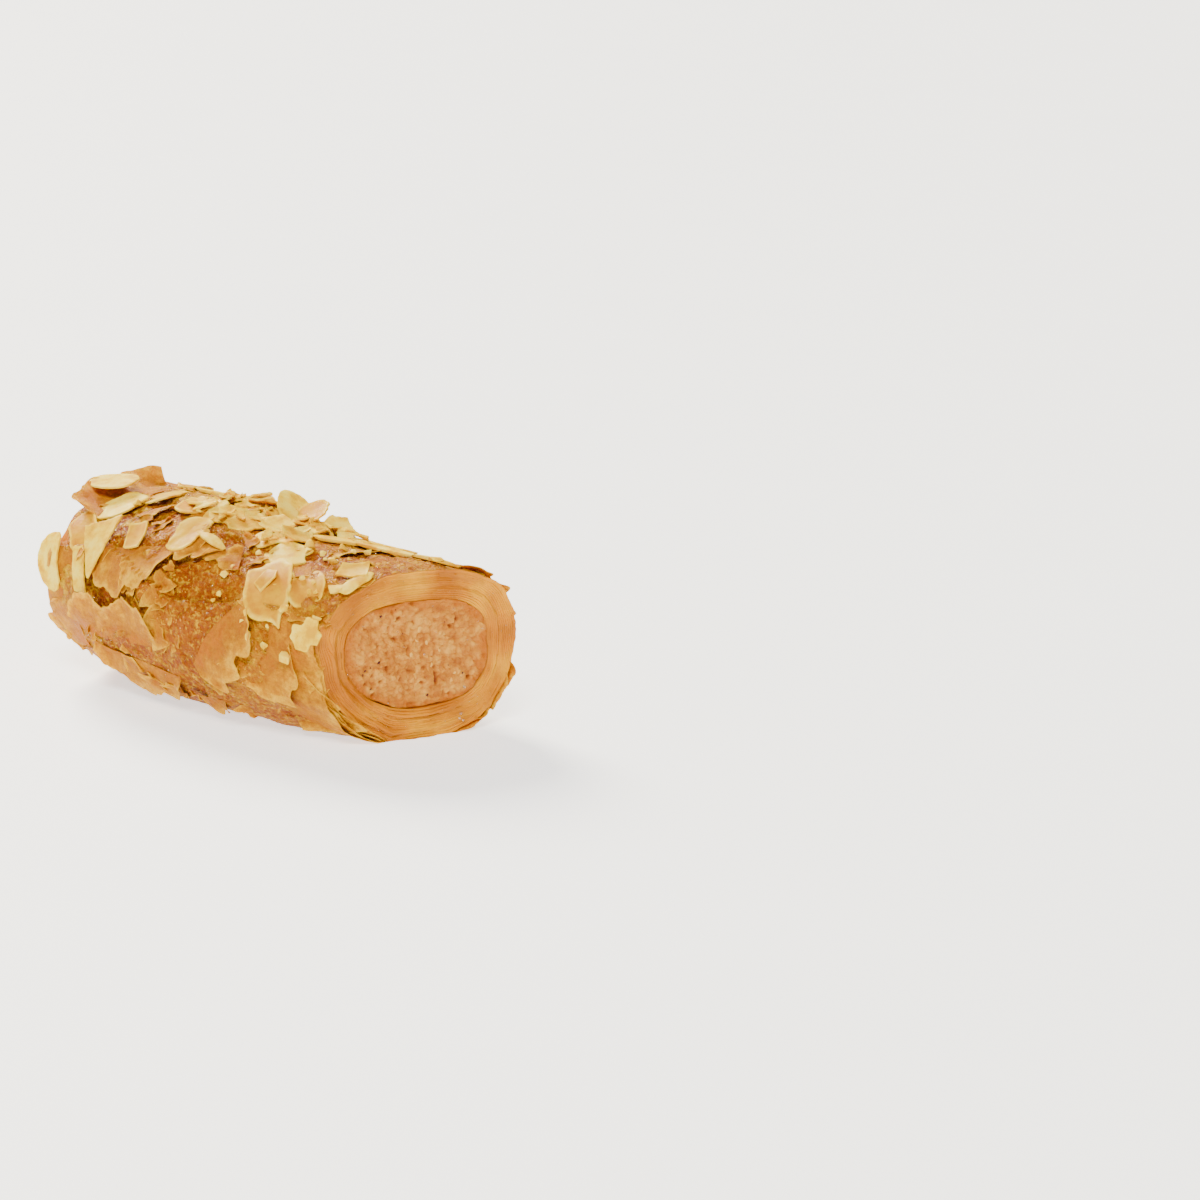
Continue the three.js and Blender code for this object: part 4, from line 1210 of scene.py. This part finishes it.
def stick_part(spot, rng):
    share = np.linspace(-1, 1, STICK_STATIONS)[:, None]
    angle = (np.arange(STICK_SIDES) * 2 * math.pi / STICK_SIDES)[None, :]
    seed = rng.integers(1, 900)
    taper = (1 - np.abs(share) ** 3.2 * 0.62) * (1 + 0.12 * np.sin(3.1 * share + seed))
    wide, thick = spot["wide"] / 2 * taper, STICK_HALF_THICKNESS * (1 - 0.35 * np.abs(share) ** 3)
    x = share * spot["long"] / 2 + 0.4 * np.sign(share) * (np.abs(share) == 1) * np.sin(angle)
    y = wide * signed_power(np.cos(angle), 0.55) + 0.35 * rng.normal() * share**2
    z = thick * signed_power(np.sin(angle), 0.55) + 0.3 * rng.normal() * share**2
    points = np.stack([x + 0 * y, y, z], -1)
    points += 0.07 * layered_noise(points * [0.4, 1, 1], 1.0, int(seed), 2)[..., None]
    points, faces = capped_tube(points)
    values = {"rim": np.full(len(points), 0.7), "toast": np.full(len(points), 0.35 * rng.random())}
    return lay_on_skin(points, spot), faces, values


def from_lowest(face):
    """The same face, named from its lowest corner. The hull's own order differs from run to run."""
    start = face.index(min(face))
    return face[start:] + face[:start]


def broken_lump(size, rng, corners=LUMP_CORNERS, bevel=LUMP_BEVEL):
    """A chip with flat broken faces: the hull of a few random corners, with its edges taken off."""
    hull = bmesh.new()
    for way in rng.normal(size=(corners, 3)):
        hull.verts.new(unit(way) * rng.uniform(0.82, 1.05) * size / 2 * [1, 0.75, 0.62])
    bmesh.ops.convex_hull(hull, input=hull.verts)
    bmesh.ops.delete(hull, geom=[vert for vert in hull.verts if not vert.link_faces], context="VERTS")
    bmesh.ops.dissolve_limit(hull, angle_limit=0.35, verts=hull.verts, edges=hull.edges)
    if bevel:
        bmesh.ops.bevel(hull, geom=hull.edges[:], offset=bevel * size, segments=1, affect="EDGES")
    bmesh.ops.triangulate(hull, faces=hull.faces)
    hull.verts.index_update()
    points = np.array([vert.co for vert in hull.verts])
    faces = sorted(from_lowest([vert.index for vert in face.verts]) for face in hull.faces)
    hull.free()
    return points, faces


def nib_part(spot, rng):
    points, faces = broken_lump(spot["size"], rng)
    spot = dict(spot, turn=360 * rng.random(), lift=0.18 * spot["size"])
    values = {"rim": np.full(len(points), 0.85), "toast": np.full(len(points), 0.5 * rng.random())}
    return lay_on_skin(points, spot), faces, values


# %% Shards that fill the heap on top
HEAP = dict(along=(-0.4, 0.36), around=(62, 104))
SHARD_SHAPES = ["crumpled", "angular", "kite", "chip", "sliver"]
SHARD_COUNT, SHARD_SEED = 74, 77


def heap_shards(count, seed):
    rng = np.random.default_rng(seed)
    shards = []
    for _ in range(count):
        long = rng.uniform(3, 7.5)
        place = dict(along=rng.uniform(*HEAP["along"]), around=rng.uniform(*HEAP["around"]))
        shape = dict(long=long, wide=long * rng.uniform(0.45, 0.85), turn=rng.uniform(0, 360), point=0)
        tilt = dict(pitch=rng.uniform(-10, 34), roll=rng.uniform(-24, 24), lift=rng.uniform(0.2, 1.9))
        look = dict(shape=SHARD_SHAPES[rng.integers(len(SHARD_SHAPES))], toast=rng.random() ** 2 * 0.6)
        shards.append(dict(kind="flake", **place, **shape, **tilt, **look))
    return shards


# %% Looks of the flakes that show best, by their row, and what lies between them
FLAKE_LOOKS = {
    0: dict(shape="boxy", toast=0.9, long=19, along=0.625, around=137), 1: dict(breaks=1, toast=0.9),
    2: dict(shape="crumpled", toast=0.1), 3: dict(shape="crumpled", toast=0.4), 9: dict(breaks=1, toast=0.0),
    10: dict(shape="sliver", toast=0.05), 11: dict(shape="wedge", toast=0.1, wide=12.5),
    12: dict(shape="chip", toast=0.7), 13: dict(breaks=1, toast=0.0),
    16: dict(shape="crumpled", toast=0.1, along=0.955),
    18: dict(shape="angular", toast=0.1, long=11.5, wide=9, along=0.44, around=106),
    19: dict(shape="chip", toast=0.4),
}
for place, look in FLAKE_LOOKS.items():
    FLAKES[place].update(look)
ALMONDS.append(dict(kind="flake", shape="kite", along=0.575, around=131, long=6.4, wide=5, turn=-75, lift=1.5,
                    point=0, toast=0.7))
EXTRA_NIBS = 22
nib_rng = np.random.default_rng(19)
for _ in range(EXTRA_NIBS):
    ALMONDS.append(dict(kind="nib", along=nib_rng.uniform(0.3, 0.96), around=nib_rng.uniform(90, 165),
                        size=nib_rng.uniform(1.4, 2.8), lift=0))
print("almonds with the small ones:", len(ALMONDS))

# %% Join each kind of almond into one piece
ALMOND_MAKERS = dict(flake=flake_part, stick=stick_part, nib=nib_part)
ALMOND_PIECES = dict(flake="flaked_almonds", stick="almond_sticks", nib="almond_nibs")
almond_rng = np.random.default_rng(62)
almond_parts = {kind: [] for kind in ALMOND_MAKERS}
for spot in ALMONDS:
    almond_parts[spot["kind"]].append(ALMOND_MAKERS[spot["kind"]](spot, almond_rng))
almond_parts["flake"] += [flake_part(spot, almond_rng) for spot in heap_shards(SHARD_COUNT, SHARD_SEED)]
almond_pieces = []
for kind, parts in almond_parts.items():
    piece = crisp(face_outward(join_parts(ALMOND_PIECES[kind], parts, smooth=kind != "nib")))
    piece.data.materials.append(ALMOND)
    almond_pieces.append(piece)
    print(piece.name, len(piece.data.polygons), "faces")

# %% [markdown]
# ## Nut pieces and specks in the paste
#
# Ground almonds are never even: pale chips, translucent ones soaked with syrup, and dark flecks of the
# brown skin all show where the knife passed. They could be painted by noise, but chips catch the light, so
# they are small broken lumps set half into the cut face.

# %% Chips and specks set into the cut faces
NEAR_CHIPS = [
    (-6.1, 25.3, 2.6, 0.75), (-7.4, 21.0, 2.2, 0.7), (1.1, 23.9, 1.8, 0.1), (0.1, 13.6, 2.2, 0.65),
    (-3.3, 11.2, 1.8, 0.6), (7.9, 11.8, 1.6, 0.3), (2.6, 20.8, 2.1, 0), (0.7, 21.7, 1.5, 0),
    (5.4, 18.9, 1.3, 0.1), (-0.7, 18.6, 1.6, 0.2), (3.6, 15.8, 1.5, 0.1), (8.6, 13.5, 1.4, 0.2),
    (6.5, 22.5, 1.5, 0.2),
]
NEAR_SPECKS = [
    (-7.1, 28.0, 0.75), (-7.9, 18.0, 1.0), (-10.5, 16.2, 0.8), (2.7, 9.2, 0.8), (-11.1, 15.4, 0.6),
    (-9.4, 16.9, 0.45), (-9.5, 12.3, 0.6), (10.3, 13.1, 0.55), (-4.1, 29.0, 0.4), (-2.5, 23.5, 0.35),
    (6.5, 24.9, 0.35), (7.1, 15.3, 0.4),
]
FAR_CHIPS, FAR_SPECKS, LARGEST_CHIP = 26, 16, 2.6
CHIP_STAND = 0.12


def on_cut(end, y, z, out=0.0):
    """A place on the crumbly cut face, that far out from it."""
    place = np.array([station_x(float(end), y), y, z])
    place[0] += end * (max(-0.2, float(crumb_relief(place[None])[0][0])) + out)
    return place


def chip_part(end, y, z, size, soaked, rng, flat=0.55):
    points, faces = broken_lump(size, rng)
    points = points[:, [2, 1, 0]] * [flat, 1, 1] @ spin("X", 360 * rng.random()).T
    values = {"rim": np.full(len(points), 0.6), "toast": np.full(len(points), soaked)}
    return points + on_cut(end, y, z, CHIP_STAND - 0.1 * size), faces, values


def random_on_paste(rng, count, largest):
    places = []
    while len(places) < count:
        angle, share = 360 * rng.random(), 0.93 * math.sqrt(rng.random())
        middle = (paste_point(-1.0, 0.0) + paste_point(-1.0, 180.0)) / 2
        spot = middle + (paste_point(-1.0, angle) - middle) * share
        places.append((spot[1], spot[2], largest * (0.35 + 0.65 * rng.random() ** 2), rng.random() ** 2))
    return places


chip_rng = np.random.default_rng(8)
chips = [chip_part(1, y, z, size, soaked, chip_rng) for y, z, size, soaked in NEAR_CHIPS]
for y, z, size, soaked in random_on_paste(chip_rng, FAR_CHIPS, LARGEST_CHIP):
    chips.append(chip_part(-1, y, z, size, soaked, chip_rng))
specks = [chip_part(1, y, z, 1.4 * size, 0, chip_rng) for y, z, size in NEAR_SPECKS]
for y, z, size, _ in random_on_paste(chip_rng, FAR_SPECKS, LARGEST_CHIP):
    specks.append(chip_part(-1, y, z, 0.4 * size, 0, chip_rng))


def finished_lumps(name, parts, finish):
    piece = face_outward(join_parts(name, parts, smooth=False))
    piece.data.materials.append(finish)
    print(name, len(parts), "lumps with", len(piece.data.polygons), "faces")
    return piece


nut_chips = finished_lumps("nut_chips", chips, CHIP)
nut_specks = finished_lumps("nut_skin_specks", specks, SPECK)

# %% [markdown]
# ## Scales of filo
#
# Between the big torn leaves the skin carries scales that are only a few millimetres across. Bump would
# show their edges from above but not against the light. They follow the skin by the same rule as the torn
# leaves, so the same function makes them, with fewer faces because there are many.

# %% Small scales of filo
SCALE_COUNT = 110
SCALE_THICKNESS = 0.13
LOWEST_SCALE = 3


def random_scales(count, seed):
    rng = np.random.default_rng(seed)
    scales = []
    while len(scales) < count:
        along, around = rng.uniform(-0.97, 0.97), rng.uniform(-40, 235)
        if skin_point(along, around)[2] < LOWEST_SCALE:
            continue
        long = rng.uniform(3, 9)
        scales.append(dict(along=along, around=around, long=long, deep=long * rng.uniform(0.35, 0.8),
                           turn=rng.uniform(0, 360), lift=rng.uniform(0.02, 0.3)))
    return scales


scale_rows = random_scales(SCALE_COUNT, 5)
scale_parts = [torn_leaf_part(row, 200 + place, columns=26, rows=7) for place, row in enumerate(scale_rows)]
scales = thicken(join_parts("filo_scales", scale_parts), SCALE_THICKNESS, "filo_scales")
scales.data.materials.append(TORN_LEAF)
print("scales:", SCALE_COUNT, "with", len(scales.data.polygons), "faces")

# %% [markdown]
# ## Drops of syrup
#
# Syrup wells out of the cut leaves and sets in beads, and finer drops lie all over the skin, each with a
# glint of light. A glossier coat would give broad shine instead of sparks. So each drop is a small
# flattened ball of clear syrup: the ones that glint in the picture are placed one by one, the rest by
# seeded draws.

# %% Drops of set syrup on the cut, the paste and the skin
GLINTS = [
    (10.7, 9.9, 0.9), (9.8, 4.1, 1.1), (9.3, 3.1, 0.9), (10.2, 2.5, 0.8), (2.1, 18.4, 0.8), (4.6, 23, 0.5),
    (4, 28.8, 0.5), (3.2, 31.6, 0.5), (14.5, 22.6, 0.6), (13.7, 24.2, 0.5), (8.3, 27.8, 0.5),
    (-2.3, 20.6, 0.6), (-3.6, 24.1, 0.5), (-10.9, 26.3, 0.6), (11.5, 20.3, 0.5), (-4.5, 6.6, 0.6),
    (-5.9, 8.6, 0.6),
]
DROPS_ON_CUTS, DROPS_IN_ALL = 110, 420


def drop_part(place, outward, size, drop):
    points, faces = drop
    turn = np.array(Vector(outward).to_track_quat("Z", "Y").to_matrix())
    flattened = points * [size / 2, size / 2, 0.3 * size]
    return place + flattened @ turn.T, faces, {"size": np.full(len(points), size)}


def round_drop(subdivisions):
    ball = bmesh.new()
    bmesh.ops.create_icosphere(ball, subdivisions=subdivisions, radius=1)
    points = np.array([vert.co for vert in ball.verts])
    faces = [[vert.index for vert in face.verts] for face in ball.faces]
    ball.free()
    return points, faces


def syrup_drops(seed):
    rng, drop, fine_drop = np.random.default_rng(seed), round_drop(1), round_drop(2)
    parts = []
    for y, z, size in GLINTS:
        parts.append(drop_part(on_cut(1, y, z, 0.05), (1, -0.4, 0.3), 0.75 * size, fine_drop))
    for _ in range(DROPS_ON_CUTS):
        end, angle = rng.choice([-1.0, 1.0]), rng.choice([60, 250, 340]) + rng.normal(0, 35)
        share = 0.95 * rng.random() ** 2
        rim, core = relief_point(end, angle), paste_point(end, angle)
        place = core + (rim - core) * share + [end * (0.05 + cut_steps(1 - share, angle)), 0, 0]
        parts.append(drop_part(place, (end, 0, 0.3), rng.uniform(0.12, 0.32), drop))
    while len(parts) < DROPS_IN_ALL:
        along, angle = rng.uniform(-0.95, 0.98), rng.uniform(-30, 215)
        place = relief_point(along, angle, 0.12)
        outward = relief_point(along, angle, 1.0) - relief_point(along, angle)
        parts.append(drop_part(place, outward, rng.uniform(0.2, 0.6), drop))
    return parts


syrup = face_outward(join_parts("syrup_drops", syrup_drops(15)))
syrup.data.materials.append(SYRUP)
print("syrup drops:", len(syrup.data.polygons), "faces")

# %% [markdown]
# ## Toasted crumbs
#
# Crumbs like coarse sand stick to the syrup on top of the roll, in clumps. A particle system could strew
# them, but its crumbs would not be real faces. So Geometry Nodes spread points over the skin, put one small
# lump with few faces on each, at random sizes and turns, and make the result real.

# %% Geometry Nodes: strew lumps over a surface
def strew_tree():
    tree = bpy.data.node_groups.new("strew_crumbs", "GeometryNodeTree")
    kinds = dict(Surface="Geometry", Crumb="Object", Spacing="Float", Density="Float", Smallest="Float",
                 Largest="Float", Seed="Int", Finish="Material")
    for name, kind in kinds.items():
        tree.interface.new_socket(name, in_out="INPUT", socket_type="NodeSocket" + kind)
    tree.interface.new_socket("Crumbs", in_out="OUTPUT", socket_type="NodeSocketGeometry")
    given = tree.nodes.new("NodeGroupInput").outputs
    share = add_node(tree, "GeometryNodeInputNamedAttribute", {"Name": "strewn"}, data_type="FLOAT")
    points = add_node(
        tree, "GeometryNodeDistributePointsOnFaces",
        {"Mesh": given["Surface"], "Distance Min": given["Spacing"], "Density Max": given["Density"],
         "Density Factor": share.outputs[0], "Seed": given["Seed"]},
        distribute_method="POISSON",
    )
    size = add_node(
        tree, "FunctionNodeRandomValue", {2: given["Smallest"], 3: given["Largest"], "Seed": given["Seed"]},
        data_type="FLOAT",
    )
    turned = add_node(
        tree, "FunctionNodeRandomValue", {1: (6.3, 6.3, 6.3), "Seed": given["Seed"]}, data_type="FLOAT_VECTOR"
    )
    lump = add_node(tree, "GeometryNodeObjectInfo", {"Object": given["Crumb"]})
    placed = add_node(
        tree, "GeometryNodeInstanceOnPoints",
        {"Points": points.outputs["Points"], "Instance": lump.outputs["Geometry"],
         "Rotation": turned.outputs[0], "Scale": size.outputs[1]},
    )
    whole = add_node(tree, "GeometryNodeRealizeInstances", {"Geometry": placed.outputs[0]})
    dressed = add_node(
        tree, "GeometryNodeSetMaterial", {"Geometry": whole.outputs[0], "Material": given["Finish"]}
    )
    tree.links.new(dressed.outputs[0], tree.nodes.new("NodeGroupOutput").inputs["Crumbs"])
    return tree


STREW = strew_tree()


def strew(name, surface, share, finish, crumb, spacing, density, smallest, largest, seed):
    carrier = bpy.data.objects.new(name, surface.data.copy())
    bpy.context.scene.collection.objects.link(carrier)
    layer = carrier.data.attributes.new("strewn", "FLOAT", "POINT")
    layer.data.foreach_set("value", np.asarray(share, np.float32).ravel())
    nodes = carrier.modifiers.new("strew", "NODES")
    nodes.node_group = STREW
    chosen = dict(Crumb=crumb, Spacing=spacing * MM, Density=float(density), Smallest=smallest * MM,
                  Largest=largest * MM, Seed=seed, Finish=finish)
    for key, value in chosen.items():
        nodes[socket_id(STREW, key)] = value
    return plain_copy(carrier, name)


def lump_object(name, rng):
    points, faces = broken_lump(1.0, rng, corners=9, bevel=0)
    mesh = bpy.data.meshes.new(name)
    mesh.from_pydata(points.tolist(), [], faces)
    return bpy.data.objects.new(name, mesh)


# %% Crumbs on the skin
def rule_points(piece):
    """The points of a piece, back in the rule's own millimetres."""
    spots = np.empty(3 * len(piece.data.vertices))
    piece.data.vertices.foreach_get("co", spots)
    return spots.reshape(-1, 3) / MM - SHIFT


MIDDLE_HEIGHT = 20
skin_spots = rule_points(filo_skin)
above = np.degrees(np.arctan2(skin_spots[:, 2] - MIDDLE_HEIGHT, skin_spots[:, 1])) % 360
on_top = smooth_step((np.cos(np.radians(above - 90)) + 0.55) / 0.7)
clumps = np.clip(0.35 + 0.9 * layered_noise(skin_spots, 9, 91, 2), 0, 1)
inside_ends = np.abs(skin_spots[:, 0] + 1) < 0.9 * ROLL_LENGTH / 2
crumb_lump = lump_object("crumb_lump", np.random.default_rng(3))
crumbs = strew(
    "toasted_crumbs", filo_skin, on_top * clumps * inside_ends, CRUMB, crumb_lump,
    spacing=0.5, density=600000, smallest=0.25, largest=0.85, seed=7,
)
bpy.data.objects.remove(crumb_lump)
print("crumbs:", len(crumbs.data.polygons), "faces")

# %% [markdown]
# ## Floor, light and camera
#
# Backlit food glows: the brightest light stands behind and to the left, a large soft one fills the front,
# and the pale floor sends light up into the leaves. The camera stands where the picture was taken from, 42
# degrees round from the front and 15 degrees above the floor.

# %% Floor
def floor_finish():
    finish, tree = new_finish(
        "pale_floor", Roughness=0.6, Emission_Strength=1.3, Emission_Color=(1, 0.985, 0.965, 1)
    )
    shades = [(0.3, (0.8, 0.84, 0.92)), (0.7, (0.82, 0.86, 0.94))]
    return dress(finish, ramp(tree, grain(tree, 60, 2), shades))


bpy.ops.mesh.primitive_plane_add(size=8)
floor = bpy.context.object
floor.name = "pale_floor"
floor.data.materials.append(floor_finish())
floor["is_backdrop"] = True


# %% Lights
def soft_sun(name, place, spread, strength, colour):
    """Light from the side of place, as soft as a window that fills spread degrees of the sky."""
    lamp = bpy.data.lights.new(name, "SUN")
    lamp.angle, lamp.energy, lamp.color = math.radians(spread), strength, colour
    light = bpy.data.objects.new(name, lamp)
    bpy.context.scene.collection.objects.link(light)
    light.location = place
    light.rotation_euler = (-Vector(place)).to_track_quat("-Z", "Y").to_euler()
    return light


soft_sun("window_behind", (-0.85, 0.3, 0.6), 24, 9.5, (1, 0.9, 0.7))
soft_sun("soft_front", (0.4, -0.5, 0.75), 22, 4.2, (1, 0.93, 0.8))
world = bpy.data.worlds.new("pale_room")
world.use_nodes = True
world.node_tree.nodes["Background"].inputs["Color"].default_value = (1, 0.94, 0.84, 1)
world.node_tree.nodes["Background"].inputs["Strength"].default_value = 0.3
bpy.context.scene.world = world

# %% Camera
AZIMUTH, ELEVATION = math.radians(42), math.radians(15)
LENS, SENSOR, SIDE = 100, 36, 1200
SEEN_PIXEL, SEEN_DEPTH = (267, 610), 741
SEEN_POINT = np.array([0, 0, 20])
right = np.array([math.cos(AZIMUTH), math.sin(AZIMUTH), 0])
back = np.array([math.sin(AZIMUTH), -math.cos(AZIMUTH), math.tan(ELEVATION)]) * math.cos(ELEVATION)
up = np.cross(back, right)
focal = LENS / SENSOR * SIDE
offset = [(SEEN_PIXEL[0] - SIDE / 2) / focal * SEEN_DEPTH, (SIDE / 2 - SEEN_PIXEL[1]) / focal * SEEN_DEPTH]
stand = (SEEN_POINT + SHIFT - right * offset[0] - up * offset[1] + back * SEEN_DEPTH) * MM
camera = bpy.data.objects.new("camera", bpy.data.cameras.new("camera"))
bpy.context.scene.collection.objects.link(camera)
camera.data.lens, camera.data.sensor_width = LENS, SENSOR
camera.data.clip_start, camera.data.clip_end = 0.01, 50
axes = Matrix(np.stack([right, up, back], 1).tolist()).to_4x4()
camera.matrix_world = Matrix.Translation(stand.tolist()) @ axes
bpy.context.scene.camera = camera
print("camera at", [round(v, 3) for v in camera.location], "m")

# %% [markdown]
# ## Put the pieces on the body
#
# Each piece hides the solid it stands for and rides on the one body. The two boxes are kept side by side,
# so that the dressed pastry can be seen to keep its size.

# %% Hide the solids and put the pieces on the body
FILO_PIECES = [filo_skin, near_leaves, far_leaves, torn_leaves, scales, crumbs, syrup, *almond_pieces]
PASTE_PIECES = [almond_paste, nut_chips, nut_specks]
for piece in FILO_PIECES:
    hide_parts("filo_roll")
for piece in PASTE_PIECES:
    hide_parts("almond_filling")
for piece in FILO_PIECES + PASTE_PIECES:
    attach(piece, "root")
    print(piece.name, sum(len(face.vertices) - 2 for face in piece.data.polygons), "triangles")

visual_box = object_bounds()
boxes = {"cad": cad_box, "visual": visual_box}
{name: [list(corner) for corner in box] for name, box in boxes.items()}
growth = [[round((v - c) / MM, 2) for v, c in zip(*pair)] for pair in zip(visual_box, cad_box)]
print("box grew by", growth, "mm")
